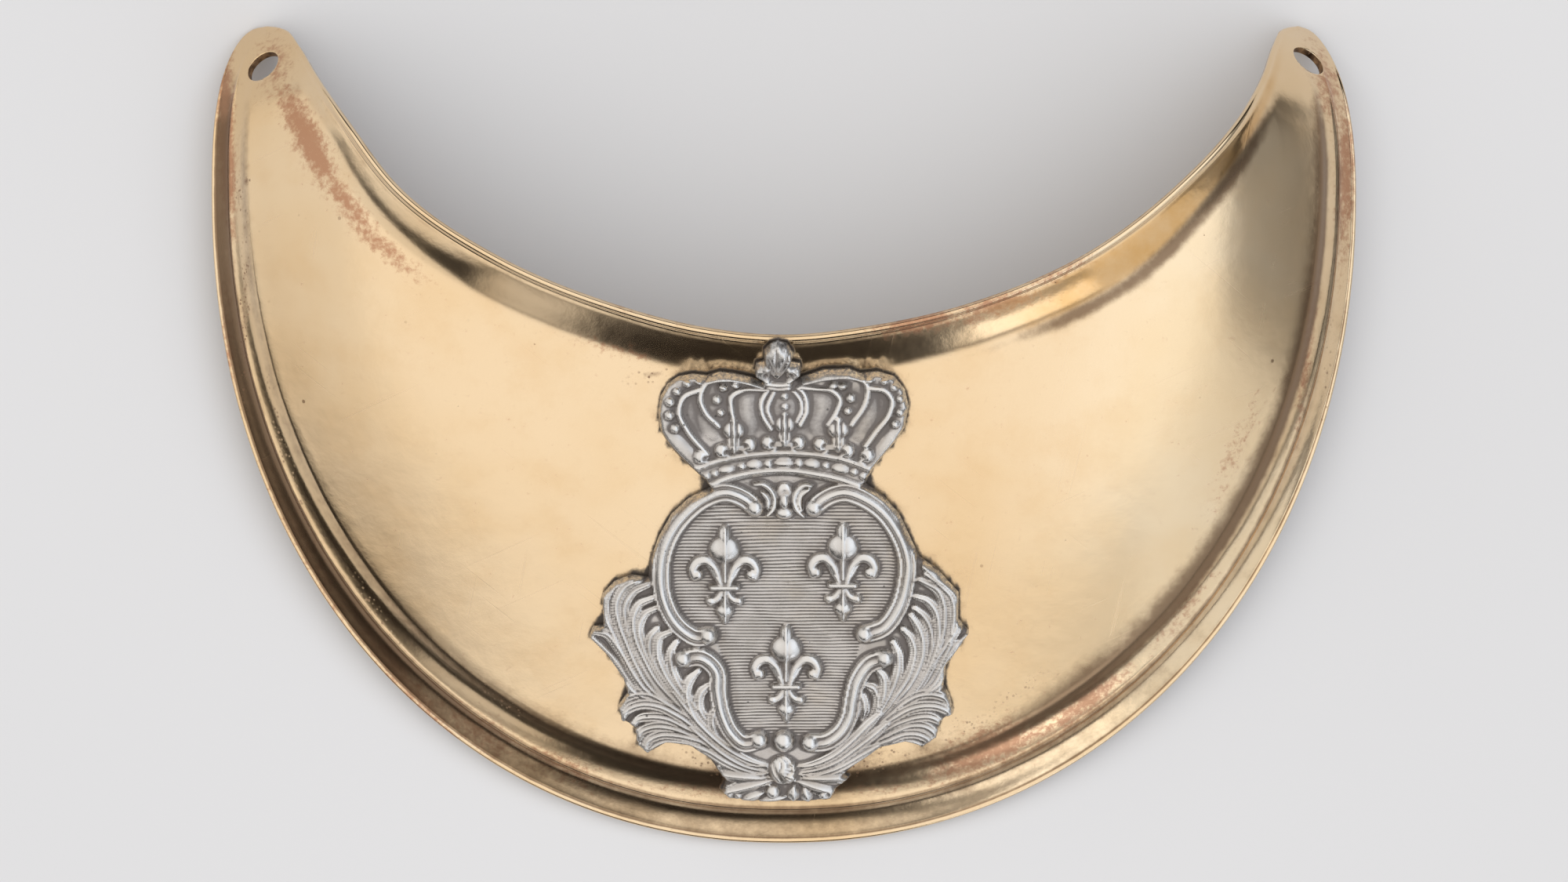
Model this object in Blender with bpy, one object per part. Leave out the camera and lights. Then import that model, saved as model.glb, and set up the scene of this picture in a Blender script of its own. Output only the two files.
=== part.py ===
"""Officer's gorget: a crescent of gilt brass sheet with a cast silver badge.

The plate lies on its back as it rests on a table: X runs across it, Y from
its foot to its horns, Z up out of the face. The origin is at the middle of
the bounding box, on the table. Plan curves and heights are worked out in
millimetres and written to the meshes in metres.
"""
import math

import bmesh
import bpy
import numpy as np
from mathutils import Matrix, Vector

MM = 0.001

# Plan of the crescent
HALF_WIDTH = 72.8
FOOT_DROP = 82.9          # from the level of the widest points down to the foot
HORN_RISE = 22.0          # from the same level up to the tips
TIP_ACROSS = 66.0
NECK_DROP = 18.6          # from the widest level down to the neck edge
OUTER_POWER = 2.1

# Form of the sheet
SHEET = 0.9
DOME_RISE = 26.0
FOOT_POWER = 1.2
DOME_TURN = 0.8           # share of the half width where the sides reach their own power
DIAGONAL_EASE = 0.6       # how far the side power falls off towards the foot
CURL_START = 6.0          # above the widest level, where the horns begin to curl down
CURL_POWER = 2.5
TIP_HEIGHT = 0.4
FLANGE_RISE = 2.8
FLANGE_WIDTH = 6.2
FLANGE_FILLET = 0.35      # share of the flange's width where it curves up out of the field
FLANGE_NARROWING = 0.58   # what the flange loses by the tips
FLANGE_TURN = 0.7         # the station where it begins to narrow
BORDER_RISE = 1.8
FADE_START = 2.5          # from the tip, where border and flange begin
FADE_END = 10.0

# The horns differ, as hammered sheet does. The holes are for a ribbon.
HORNS = {
    "left": {"power": 2.6, "side_power": 2.9, "lift": 4.5, "hole_across": 66.1, "hole_up": 16.3},
    "right": {"power": 2.05, "side_power": 3.7, "lift": 6.0, "hole_across": 66.7, "hole_up": 17.0},
}
HOLE = 4.6
LAND_RADIUS = 3.9         # a flat round each hole, for the ribbon's ring
LAND_BLEND = 4.5

# Badge
BADGE_HEIGHT = 58.2
BADGE_MIDDLE = -17.3      # its middle in Y, from the middle of the plate
BADGE_GAP = 0.3
PLAQUE = 1.0
DRAWING = 592.0           # the badge's height in the units of its drawing
GRID_STEP = 4.27          # of the relief, in the same units
BADGE_KEEP = 0.165        # share of the grid's triangles that the badge keeps
EDGE_SPARE = 10.0         # how far the relief's grid reaches past the outline
CROWN_SWELL = 0.45        # heights of the raised work over the plaque
PLUME_RISE = 0.75
RIM_RISE = 0.5
RIM_GROUND = 0.25
PEARL_GROUND = 0.2
PEARL_RISE = 0.35
PEARL_SLOPE = 0.045       # what a pearl gains with its radius
SCROLL_RISE = 1.15
SCROLL_HALF = 11          # half width of a scroll, in the drawing's units
KNOB_RISE = 1.3
FLEUR_RISE = 0.95
FINIAL_RISE = 0.9
KNOT_RISE = 0.7

# Clench feet, cast on the badge and bent over behind the plate
FOOT_RADIUS = 0.75
FOOT_CLEAR = 0.35
FOOT_SPOTS = [(2, 470), (-100, 150), (104, 150)]
CLENCH = 3.2
CLENCH_THICK = 0.7

DRILL_DEPTH = 8.0         # of the tools that cut the holes, well past the sheet on both sides
DRILL_SIDES = 20
PIN_SIDES = 12
PRISM_DROP = 1.0          # the outline's block, below and above the badge
PRISM_RISE = 7.0
SIDE_STEP = 0.05          # how far apart heights are taken to find the way a surface faces

SECTIONS = 60             # along the crescent
TIP_CUT = 0.006           # share of each edge left off at the tip, where the two edges meet

# Share of the border's width, and height as a share of its rise
BORDER = [
    {"across": 0.00, "height": 0.02},
    {"across": 0.035, "height": 0.12},
    {"across": 0.07, "height": 0.08},
    {"across": 0.10, "height": -0.01},
    {"across": 0.20, "height": 0.01},
    {"across": 0.33, "height": 0.11},
    {"across": 0.42, "height": 0.34},
    {"across": 0.475, "height": 0.53},
    {"across": 0.51, "height": 0.50},
    {"across": 0.66, "height": 0.54},
    {"across": 0.80, "height": 0.71},
    {"across": 0.91, "height": 0.94},
    {"across": 1.00, "height": 1.00},
]

# How wide the border looks from above, in millimetres, from foot to tip
BORDER_WIDTHS = [
    {"station": 0.00, "width": 9.6},
    {"station": 0.30, "width": 9.0},
    {"station": 0.50, "width": 7.7},
    {"station": 0.68, "width": 6.4},
    {"station": 0.85, "width": 5.4},
    {"station": 1.00, "width": 4.6},
]

# The neck edge: height as a share of the way from its middle to the tips,
# and how far out it is as a share of the half width
NECK = [
    {"up": 0.000, "left": 0.000, "right": 0.000},
    {"up": 0.025, "left": 0.140, "right": 0.140},
    {"up": 0.096, "left": 0.290, "right": 0.315},
    {"up": 0.240, "left": 0.483, "right": 0.506},
    {"up": 0.458, "left": 0.658, "right": 0.670},
    {"up": 0.679, "left": 0.754, "right": 0.784},
    {"up": 0.832, "left": 0.812, "right": 0.832},
    {"up": 0.930, "left": 0.847, "right": 0.855},
    {"up": 0.980, "left": 0.870, "right": 0.872},
]

# The badge's drawing: across from its centre line and up from its foot
OUTLINE = [
    (-7, 592), (5, 589), (13, 577), (10, 567), (21, 565), (23, 556), (12, 548), (19, 546),
    (51, 557), (83, 558), (97, 552), (119, 554), (140, 547), (154, 530), (159, 509), (154, 482),
    (142, 464), (131, 451), (116, 433), (105, 412), (128, 395), (148, 373), (166, 335),
    (174, 318), (195, 304), (224, 273), (224, 239), (238, 222), (209, 180), (206, 153),
    (214, 139), (219, 118), (203, 108), (198, 87), (180, 74), (157, 81), (126, 73), (95, 50),
    (78, 36), (85, 31), (69, 18), (62, 4), (30, 0), (-40, 1), (-70, 5), (-79, 13), (-74, 27),
    (-83, 40), (-95, 57), (-120, 75), (-150, 79), (-175, 65), (-188, 77), (-192, 100),
    (-208, 108), (-212, 125), (-200, 143), (-205, 163), (-225, 193), (-248, 217), (-243, 229),
    (-230, 230), (-231, 270), (-215, 287), (-193, 295), (-172, 292), (-170, 313), (-158, 345),
    (-142, 373), (-120, 393), (-92, 407), (-100, 417), (-118, 433), (-132, 446), (-146, 462),
    (-155, 478), (-158, 500), (-155, 521), (-146, 537), (-132, 547), (-114, 551), (-96, 549),
    (-80, 554), (-62, 552), (-39, 547), (-26, 541), (-26, 549), (-36, 555), (-34, 565),
    (-24, 568), (-24, 581), (-16, 589),
]

# Scrolls round the shield, as the middle line of each from knob to knob
SCROLLS = [
    [(-36, 384), (-50, 395), (-74, 403), (-100, 395), (-120, 380), (-138, 359), (-150, 335),
     (-156, 305), (-152, 267), (-140, 241), (-126, 226), (-111, 218), (-96, 220)],
    [(40, 384), (54, 395), (78, 403), (104, 395), (126, 380), (144, 357), (155, 333),
     (159, 313), (157, 289), (147, 255), (128, 230), (105, 222)],
    [(-128, 190), (-106, 192), (-86, 175), (-84, 148), (-77, 115), (-66, 93), (-51, 80), (-31, 84)],
    [(131, 191), (113, 185), (96, 163), (89, 137), (85, 115), (74, 95), (56, 82), (35, 80)],
]

# Arches and rims of the crown
ARCHES = [
    [(-96, 453), (-114, 482), (-130, 503), (-130, 521), (-118, 532), (-100, 537)],
    [(-84, 487), (-100, 509), (-105, 532), (-94, 546), (-73, 551), (-48, 546), (-28, 539)],
    [(-62, 494), (-69, 512), (-64, 525), (-48, 532), (-21, 534)],
    [(-17, 482), (-28, 505), (-26, 523), (-17, 537)],
    [(24, 487), (30, 509), (27, 528), (17, 539)],
    [(22, 541), (51, 534), (69, 525), (73, 509), (60, 491)],
    [(22, 549), (51, 556), (81, 557), (101, 548), (108, 530), (106, 512), (88, 491)],
    [(110, 535), (128, 532), (139, 516), (135, 498), (119, 473), (108, 462)],
    [(-112, 435), (-62, 446), (-1, 454), (51, 447), (110, 433)],
    [(-91, 412), (-48, 424), (2, 430), (47, 424), (101, 414)],
]

# Pearls on the arches and round the rim: across, up, radius
PEARLS = [
    (-106, 543, 5), (-121, 541, 6), (-135, 531, 6), (-144, 518, 7), (-145, 500, 7), (-138, 484, 7),
    (-60, 541, 6), (-74, 535, 6), (-83, 520, 6), (-79, 504, 6), (2, 525, 6), (2, 512, 6),
    (64, 540, 6), (80, 538, 6), (88, 522, 6), (84, 505, 6), (112, 546, 6), (130, 543, 6),
    (142, 534, 6), (149, 520, 6), (149, 504, 6), (143, 488, 6), (-105, 446, 9), (-79, 455, 9),
    (-42, 464, 9), (-18, 467, 9), (19, 467, 9), (45, 464, 9), (83, 456, 9), (108, 450, 9),
    (-52, 482, 14), (2, 487, 14), (69, 482, 14), (1, 83, 14), (-2, 391, 17), (0, 43, 19),
]

# Fleurs-de-lis, by the middle of each band
FLEURS = [(-74, 281), (78, 285), (4, 154)]

# Palm plumes of the left spray: tip, two bends and root of each, and its half width
PLUMES = [
    {"tip": (-176, 286), "bend": (-205, 215), "knee": (-150, 120), "root": (-42, 54), "half": 9},
    {"tip": (-200, 286), "bend": (-222, 215), "knee": (-165, 125), "root": (-52, 52), "half": 9},
    {"tip": (-222, 268), "bend": (-236, 210), "knee": (-180, 135), "root": (-62, 52), "half": 9},
    {"tip": (-240, 222), "bend": (-222, 190), "knee": (-172, 120), "root": (-62, 46), "half": 8},
    {"tip": (-162, 256), "bend": (-196, 215), "knee": (-140, 130), "root": (-58, 64), "half": 8},
    {"tip": (-146, 222), "bend": (-176, 190), "knee": (-130, 125), "root": (-66, 70), "half": 8},
    {"tip": (-206, 124), "bend": (-180, 170), "knee": (-128, 110), "root": (-48, 50), "half": 8},
    {"tip": (-202, 112), "bend": (-178, 148), "knee": (-128, 98), "root": (-48, 46), "half": 8},
    {"tip": (-180, 76), "bend": (-186, 128), "knee": (-120, 90), "root": (-48, 42), "half": 8},
    {"tip": (-170, 74), "bend": (-158, 102), "knee": (-112, 80), "root": (-42, 36), "half": 8},
    {"tip": (-104, 176), "bend": (-124, 150), "knee": (-112, 118), "root": (-88, 90), "half": 7},
]


def clear_scene():
    for obj in list(bpy.data.objects):
        bpy.data.objects.remove(obj, do_unlink=True)


def smooth_line(points, steps):
    """A smooth line through the points, with chord length as its measure."""
    pts = np.array(points, float)
    at = np.concatenate([[0.0], np.cumsum(np.hypot(*np.diff(pts, axis=0).T))])
    slope = np.gradient(pts, at, axis=0)
    want = np.linspace(0.0, at[-1], steps)
    i = np.clip(np.searchsorted(at, want, side="right") - 1, 0, len(pts) - 2)
    h = (at[i + 1] - at[i])[:, None]
    t = (want[:, None] - at[i][:, None]) / h
    return ((2 * t**3 - 3 * t**2 + 1) * pts[i] + (t**3 - 2 * t**2 + t) * h * slope[i]
            + (3 * t**2 - 2 * t**3) * pts[i + 1] + (t**3 - t**2) * h * slope[i + 1])


def resample(line, shares):
    at = np.concatenate([[0.0], np.cumsum(np.hypot(*np.diff(line, axis=0).T))])
    return np.stack([np.interp(np.asarray(shares) * at[-1], at, line[:, k]) for k in (0, 1)], axis=1)


def outer_half(side):
    """The outer edge of one half, from the foot to the tip."""
    turn = np.linspace(0.0, math.pi / 2, 160)
    low = np.stack([HALF_WIDTH * np.sin(turn) ** (2 / OUTER_POWER),
                    -FOOT_DROP * np.cos(turn) ** (2 / OUTER_POWER)], axis=1)
    power = HORNS[side]["power"]
    horn = np.stack([TIP_ACROSS + (HALF_WIDTH - TIP_ACROSS) * np.cos(turn) ** (2 / power),
                     HORN_RISE * np.sin(turn) ** (2 / power)], axis=1)
    return np.concatenate([low, horn[1:]])


def neck_half(side):
    """The neck edge of one half, from its middle to the tip."""
    rise = NECK_DROP + HORN_RISE
    rows = [(row[side] * HALF_WIDTH, row["up"] * rise - NECK_DROP) for row in NECK]
    before = [(-rows[1][0], rows[1][1])]
    past_tip = [(TIP_ACROSS, HORN_RISE), (TIP_ACROSS + 2.5, HORN_RISE - 0.4)]
    line = smooth_line(before + rows + past_tip, 500)
    return line[(line[:, 0] >= 0.0) & (line[:, 0] <= TIP_ACROSS)]


def whole_edge(right, left):
    """Both halves of an edge as one line, from the left tip to the right."""
    return np.concatenate([(left * [-1, 1])[::-1], right[1:]])


def distance(points, line):
    """How far each point is from a line of short straight runs."""
    best = np.full(len(points), 1e9)
    for start, end in zip(line[:-1], line[1:]):
        run = end - start
        t = np.clip(((points - start) @ run) / max(run @ run, 1e-12), 0.0, 1.0)
        gap = points - start - t[:, None] * run
        best = np.minimum(best, np.hypot(gap[:, 0], gap[:, 1]))
    return best


def ease(t):
    t = np.clip(t, 0.0, 1.0)
    return t * t * (3 - 2 * t)


def station(x, y):
    """0 at the foot and 1 at the tips, by the turn about the widest level."""
    turn = np.arctan2(np.abs(x) / HALF_WIDTH, -y / FOOT_DROP)
    full = math.atan2(TIP_ACROSS / HALF_WIDTH, -HORN_RISE / FOOT_DROP)
    return turn / full


def by_side(x, key):
    """A size of the horn on whose side of the middle each point lies."""
    return np.where(np.asarray(x) < 0, HORNS["left"][key], HORNS["right"][key])


def dome(x, y):
    """The raised form of the sheet, before its border, flange and lands."""
    across, up = np.abs(x) / HALF_WIDTH, np.abs(y) / FOOT_DROP
    reach = (across**OUTER_POWER + up**OUTER_POWER) ** (1 / OUTER_POWER)
    sideways = ease(across / DOME_TURN) * np.where(y < 0, 1 - DIAGONAL_EASE * ease(up / DOME_TURN), 1.0)
    power = FOOT_POWER + (by_side(x, "side_power") - FOOT_POWER) * sideways
    return DOME_RISE * (1 - reach**power) + by_side(x, "lift") * across**2


def curl(x, y):
    """How far the horns bend down so that their tips reach the table."""
    drop = [dome(side * TIP_ACROSS, HORN_RISE) - TIP_HEIGHT for side in (-1, 1)]
    share = np.clip((y - CURL_START) / (HORN_RISE - CURL_START), 0, None)
    return np.where(x < 0, drop[0], drop[1]) * share**CURL_POWER


def tip_fade(x, y):
    from_tip = np.hypot(np.abs(x) - TIP_ACROSS, y - HORN_RISE)
    return ease((from_tip - FADE_START) / (FADE_END - FADE_START))


class Sheet:
    """The smooth surface of the plate, with its edges as lines in plan."""

    def __init__(self):
        self.outer = whole_edge(outer_half("right"), outer_half("left"))
        self.neck = whole_edge(neck_half("right"), neck_half("left"))
        self.lands = []
        holes = []
        for side, sign in (("left", -1), ("right", 1)):
            x = np.array([sign * HORNS[side]["hole_across"]])
            y = np.array([HORNS[side]["hole_up"]])
            holes.append((Vector((x[0], y[0], self.height(x, y)[0])), Vector(self.facing(x, y)[0])))
        self.lands = holes

    def border_share(self, x, y):
        widths = np.interp(station(x, y), [row["station"] for row in BORDER_WIDTHS],
                           [row["width"] for row in BORDER_WIDTHS])
        return distance(np.stack([x, y], axis=1), self.outer[::3]) / widths

    def flange(self, x, y):
        size = 1 - FLANGE_NARROWING * ease((station(x, y) - FLANGE_TURN) / (1 - FLANGE_TURN))
        gap = distance(np.stack([x, y], axis=1), self.neck[::4])
        gap = np.where(y > np.interp(x, self.neck[:, 0], self.neck[:, 1]), 0.0, gap)
        reach = np.clip(1 - gap / (FLANGE_WIDTH * size), 0, 1)
        slope = np.where(reach < FLANGE_FILLET, reach**2 / (2 * FLANGE_FILLET), reach - FLANGE_FILLET / 2)
        return FLANGE_RISE * size * slope / (1 - FLANGE_FILLET / 2) * tip_fade(x, y)

    def height(self, x, y, seat=False):
        """Height of the face; a seat ignores the border's slope."""
        share = 1.0 if seat else np.clip(self.border_share(x, y), 0, 1)
        z = dome(x, y) - curl(x, y) + BORDER_RISE * share * tip_fade(x, y) + self.flange(x, y)
        for middle, facing in self.lands:
            off = np.hypot(x - middle.x, y - middle.y)
            blend = 1 - ease((off - LAND_RADIUS) / LAND_BLEND)
            flat = middle.z - (facing.x * (x - middle.x) + facing.y * (y - middle.y)) / facing.z
            z = z + (flat - z) * blend
        return z

    def facing(self, x, y, seat=False):
        e = SIDE_STEP
        gx = (self.height(x + e, y, seat) - self.height(x - e, y, seat)) / (2 * e)
        gy = (self.height(x, y + e, seat) - self.height(x, y - e, seat)) / (2 * e)
        n = np.stack([-gx, -gy, np.ones_like(gx)], axis=1)
        return n / np.linalg.norm(n, axis=1)[:, None]


def edge_frames(line, shares):
    """Points along an edge, and the way into the sheet at each."""
    at = resample(line, shares)
    along = resample(line, np.clip(shares + 0.002, 0, 1)) - resample(line, np.clip(shares - 0.002, 0, 1))
    inward = np.stack([-along[:, 1], along[:, 0]], axis=1)
    return at, inward / np.hypot(inward[:, 0], inward[:, 1])[:, None]


def half_sections(side):
    """Rows of plan points from the outer edge to the neck edge of one half."""
    to_go = np.linspace(1.0, 0.0, SECTIONS // 2 + 1)         # share of the way still to go to the tip
    to_go = TIP_CUT + (1 - TIP_CUT) * (0.75 * to_go + 0.25 * to_go**2)
    far, inward = edge_frames(outer_half(side), 1 - to_go)
    near, outward = edge_frames(neck_half(side), 1 - to_go * (1 + 0.5 * (1 - to_go)))
    run = near - far
    chord = np.hypot(run[:, 0], run[:, 1])
    straight = ease((0.3 - to_go) / 0.25)[:, None]
    inward = inward + (run / chord[:, None] - inward) * straight
    outward = outward + (run / chord[:, None] - outward) * straight
    width = np.interp(station(far[:, 0], far[:, 1]), [row["station"] for row in BORDER_WIDTHS],
                      [row["width"] for row in BORDER_WIDTHS])
    border = np.minimum(width, 0.45 * chord)[:, None]
    lip = np.minimum(FLANGE_WIDTH, 0.4 * chord)[:, None]
    rows = [far + inward * border * row["across"] for row in BORDER]
    start, stop = rows[-1], near - outward * lip
    rows += [start + (stop - start) * share for share in (0.2, 0.4, 0.6, 0.8)]
    rows += [near - outward * lip * share for share in (1.0, 0.72, 0.46, 0.24, 0.0)]
    return np.stack(rows, axis=1)


def plate_rows():
    """Plan points of every section, from the left tip to the right."""
    right = half_sections("right")
    left = half_sections("left") * [-1, 1]
    return np.concatenate([left[::-1], right[1:]])


def border_relief(sheet, x, y):
    share = np.clip(sheet.border_share(x, y), 0, 1)
    shape = np.interp(share, [row["across"] for row in BORDER], [row["height"] for row in BORDER])
    return BORDER_RISE * (shape - share) * tip_fade(x, y)


def material(name, colour, metallic, roughness):
    mat = bpy.data.materials.new(name)
    mat.use_nodes = True
    bsdf = mat.node_tree.nodes["Principled BSDF"]
    bsdf.inputs["Base Color"].default_value = (*colour, 1.0)
    bsdf.inputs["Metallic"].default_value = metallic
    bsdf.inputs["Roughness"].default_value = roughness
    return mat


def add_object(bm, name, collection, mat=None):
    bmesh.ops.recalc_face_normals(bm, faces=bm.faces)
    mesh = bpy.data.meshes.new(name)
    bm.to_mesh(mesh)
    bm.free()
    obj = bpy.data.objects.new(name, mesh)
    collection.objects.link(obj)
    if mat:
        mesh.materials.append(mat)
    return obj


def loft_plate(sheet, collection, mat):
    """The sheet as a closed loft: face, back and the edge between them."""
    plan = plate_rows()
    n_sections, n_rows = plan.shape[:2]
    x, y = plan.reshape(-1, 2).T
    smooth = np.stack([x, y, sheet.height(x, y)], axis=1)
    normal = sheet.facing(x, y)
    face = smooth + normal * border_relief(sheet, x, y)[:, None]
    back = smooth - normal * SHEET
    bm = bmesh.new()
    face_verts = [bm.verts.new(Vector(p) * MM) for p in face]
    back_rows = [0, 4, 8, 12, 14, 16, 17, 19, n_rows - 1]
    back_verts = {}
    for s in range(n_sections):
        for r in back_rows:
            back_verts[s, r] = bm.verts.new(Vector(back[s * n_rows + r]) * MM)
    for s in range(n_sections - 1):
        for r in range(n_rows - 1):
            a, b = s * n_rows + r, (s + 1) * n_rows + r
            bm.faces.new((face_verts[a], face_verts[a + 1], face_verts[b + 1], face_verts[b]))
        for r, nxt in zip(back_rows[:-1], back_rows[1:]):
            bm.faces.new((back_verts[s, r], back_verts[s + 1, r], back_verts[s + 1, nxt],
                          back_verts[s, nxt]))
        for r in (0, n_rows - 1):
            a, b = s * n_rows + r, (s + 1) * n_rows + r
            bm.faces.new((face_verts[a], face_verts[b], back_verts[s + 1, r], back_verts[s, r]))
    for s in (0, n_sections - 1):
        rim = [face_verts[s * n_rows + r] for r in range(n_rows)]
        rim += [back_verts[s, r] for r in reversed(back_rows)]
        bm.faces.new(rim)
    bmesh.ops.triangulate(bm, faces=[f for f in bm.faces if len(f.verts) > 4])
    return add_object(bm, "plate", collection, mat)


def drill(plate, middle, facing, radius, name, cutters):
    """Cut a round hole square to the sheet."""
    bm = bmesh.new()
    bmesh.ops.create_cone(bm, cap_ends=True, segments=DRILL_SIDES, radius1=radius * MM,
                          radius2=radius * MM, depth=DRILL_DEPTH * MM)
    cutter = add_object(bm, name, cutters)
    turn = Vector((0, 0, 1)).rotation_difference(facing).to_matrix().to_4x4()
    cutter.data.transform(Matrix.Translation(middle * MM) @ turn)
    cutter.hide_render = True
    cutter.display_type = "WIRE"
    cut = plate.modifiers.new(name, "BOOLEAN")
    cut.operation = "DIFFERENCE"
    cut.object = cutter


class Relief:
    """Raised work on the badge's drawing plane, kept as heights in millimetres."""

    def __init__(self, x, y):
        self.x, self.y = x, y
        self.z = np.full(len(x), PLAQUE)

    def raise_to(self, where, height, ground):
        self.z[where] = np.maximum(self.z[where], ground + height)

    def near(self, low, high, reach):
        return np.flatnonzero((self.x > low[0] - reach) & (self.x < high[0] + reach)
                              & (self.y > low[1] - reach) & (self.y < high[1] + reach))

    def stroke(self, points, radius, height, taper=1.0, ground=PLAQUE):
        """A rounded band along a smooth line; taper is its end width as a share."""
        line = smooth_line(points, 6 * len(points))
        i = self.near(line.min(axis=0), line.max(axis=0), radius)
        pts = np.stack([self.x[i], self.y[i]], axis=1)
        best = np.full(len(i), 1e9)
        for k, (start, end) in enumerate(zip(line[:-1], line[1:])):
            run = end - start
            t = np.clip(((pts - start) @ run) / max(run @ run, 1e-9), 0, 1)
            gap = pts - start - t[:, None] * run
            here = radius * (1 + (taper - 1) * k / len(line))
            best = np.minimum(best, np.hypot(gap[:, 0], gap[:, 1]) / here)
        round_top = np.sqrt(np.clip(1 - best**2, 0, 1))
        inside = best < 1
        self.raise_to(i[inside], height * round_top[inside], ground)

    def bead(self, across, up, rx, ry, height, turn=0.0, ground=PLAQUE):
        i = self.near((across, up), (across, up), max(rx, ry))
        c, s = math.cos(turn), math.sin(turn)
        dx, dy = self.x[i] - across, self.y[i] - up
        r2 = ((dx * c + dy * s) / rx) ** 2 + ((dy * c - dx * s) / ry) ** 2
        inside = r2 < 1
        self.raise_to(i[inside], height * np.sqrt(1 - r2[inside]), ground)


def fleur(relief, across, up):
    """A fleur-de-lis round the middle of its band."""
    relief.bead(across, up + 34, 21, 30, FLEUR_RISE)
    relief.stroke([(across, up + 60), (across, up + 20)], 6, FLEUR_RISE, 1.5)
    relief.stroke([(across, up - 8), (across, up - 42)], 13, FLEUR_RISE, 0.3)
    relief.stroke([(across - 20, up), (across + 20, up)], 6, FLEUR_RISE)
    for side in (-1, 1):
        arm = [(across + side * 12, up + 6), (across + side * 17, up + 24),
               (across + side * 30, up + 30), (across + side * 36, up + 16)]
        relief.stroke(arm, 8, FLEUR_RISE)
        relief.stroke([(across + side * 10, up - 6), (across + side * 21, up - 16)], 7, FLEUR_RISE, 0.8)


def carve(relief):
    """All the raised work of the badge, low forms first."""
    relief.bead(0, 490, 175, 90, CROWN_SWELL)
    for row in PLUMES:
        for side in (-1, 1):
            line = bezier([(side * -row[key][0], row[key][1]) for key in ("root", "knee", "bend", "tip")])
            relief.stroke(line, row["half"], PLUME_RISE, 0.9)
    for line in ARCHES:
        relief.stroke(line, 4.5, RIM_RISE, ground=PLAQUE + RIM_GROUND)
    for across, up, radius in PEARLS:
        rise = PEARL_SLOPE * radius + PEARL_RISE
        relief.bead(across, up, radius, radius, rise, ground=PLAQUE + PEARL_GROUND)
    for line in SCROLLS:
        relief.stroke(line, SCROLL_HALF, SCROLL_RISE)
        for across, up in (line[0], line[-1]):
            relief.bead(across, up, SCROLL_HALF, SCROLL_HALF, KNOB_RISE)
    for across, up in FLEURS:
        fleur(relief, across, up)
    relief.bead(-5, 575, 15, 17, FINIAL_RISE)
    relief.stroke([(-30, 558), (-6, 546), (18, 558)], 8, FINIAL_RISE)
    for side in (-1, 1):
        relief.stroke([(side * 70, 12), (side * 30, 34), (0, 42)], 10, KNOT_RISE)
        relief.stroke([(side * 74, 36), (side * 30, 22), (0, 12)], 8, KNOT_RISE)


def bezier(points):
    a, b, c, d = (np.array(p, float) for p in points)
    t = np.linspace(0, 1, 9)[:, None]
    return list((1 - t) ** 3 * a + 3 * (1 - t) ** 2 * t * b + 3 * (1 - t) * t**2 * c + t**3 * d)


def unit():
    return BADGE_HEIGHT / DRAWING


def badge_place(across, up):
    """From the badge's drawing to the plan of the plate."""
    return across * unit(), (up - DRAWING / 2) * unit() + BADGE_MIDDLE - plate_middle()


def plate_middle():
    """The middle of the plate in Y, measured from the widest level."""
    return (FOOT_DROP - HORN_RISE) / 2


def outline_prism(cutters):
    """The badge's outline as a block that trims the relief."""
    bm = bmesh.new()
    ring = [bm.verts.new(Vector((a * unit(), u * unit(), -PRISM_DROP)) * MM) for a, u in OUTLINE]
    face = bm.faces.new(ring)
    block = bmesh.ops.extrude_face_region(bm, geom=[face])
    raised = [v for v in block["geom"] if isinstance(v, bmesh.types.BMVert)]
    bmesh.ops.translate(bm, verts=raised, vec=(0, 0, (PRISM_DROP + PRISM_RISE) * MM))
    prism = add_object(bm, "badge_outline", cutters)
    prism.hide_render = True
    prism.display_type = "WIRE"
    return prism


def relief_block(collection, mat):
    """The raised work as a block with a level back, in the drawing plane."""
    outline = np.array(OUTLINE, float)
    low, high = outline.min(axis=0) - EDGE_SPARE, outline.max(axis=0) + EDGE_SPARE
    span = high - low
    bm = bmesh.new()
    bmesh.ops.create_grid(bm, x_segments=int(span[0] / GRID_STEP), y_segments=int(span[1] / GRID_STEP),
                          size=0.5)
    for v in bm.verts:
        v.co = Vector((low[0] + (v.co.x + 0.5) * span[0], low[1] + (v.co.y + 0.5) * span[1], 0))
    sheet_faces = list(bm.faces)
    copy = bmesh.ops.extrude_face_region(bm, geom=sheet_faces)
    top = [v for v in copy["geom"] if isinstance(v, bmesh.types.BMVert)]
    at = np.array([v.co[:2] for v in top])
    relief = Relief(at[:, 0], at[:, 1])
    carve(relief)
    for v, z in zip(top, relief.z):
        v.co.z = z
    bmesh.ops.scale(bm, verts=bm.verts, vec=(unit() * MM, unit() * MM, MM))
    return add_object(bm, "badge", collection, mat)


def bend_to_seat(obj, sheet):
    """Lay a trimmed block on the plate, following its face."""
    flat = np.empty(len(obj.data.vertices) * 3)
    obj.data.vertices.foreach_get("co", flat)
    pts = flat.reshape(-1, 3) / MM
    x, y = badge_place(pts[:, 0] / unit(), pts[:, 1] / unit())
    seat = sheet.height(x, y, seat=True)
    up = sheet.facing(x, y, seat=True)
    laid = np.stack([x, y, seat], axis=1) + up * (pts[:, 2] + BADGE_GAP)[:, None]
    obj.data.vertices.foreach_set("co", (laid * MM).ravel())
    obj.data.update()


def bake(obj):
    """Replace an object's mesh by its evaluated mesh, with its modifiers done."""
    graph = bpy.context.evaluated_depsgraph_get()
    graph.update()
    mesh = bpy.data.meshes.new_from_object(obj.evaluated_get(graph))
    obj.modifiers.clear()
    obj.data = mesh


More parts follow.
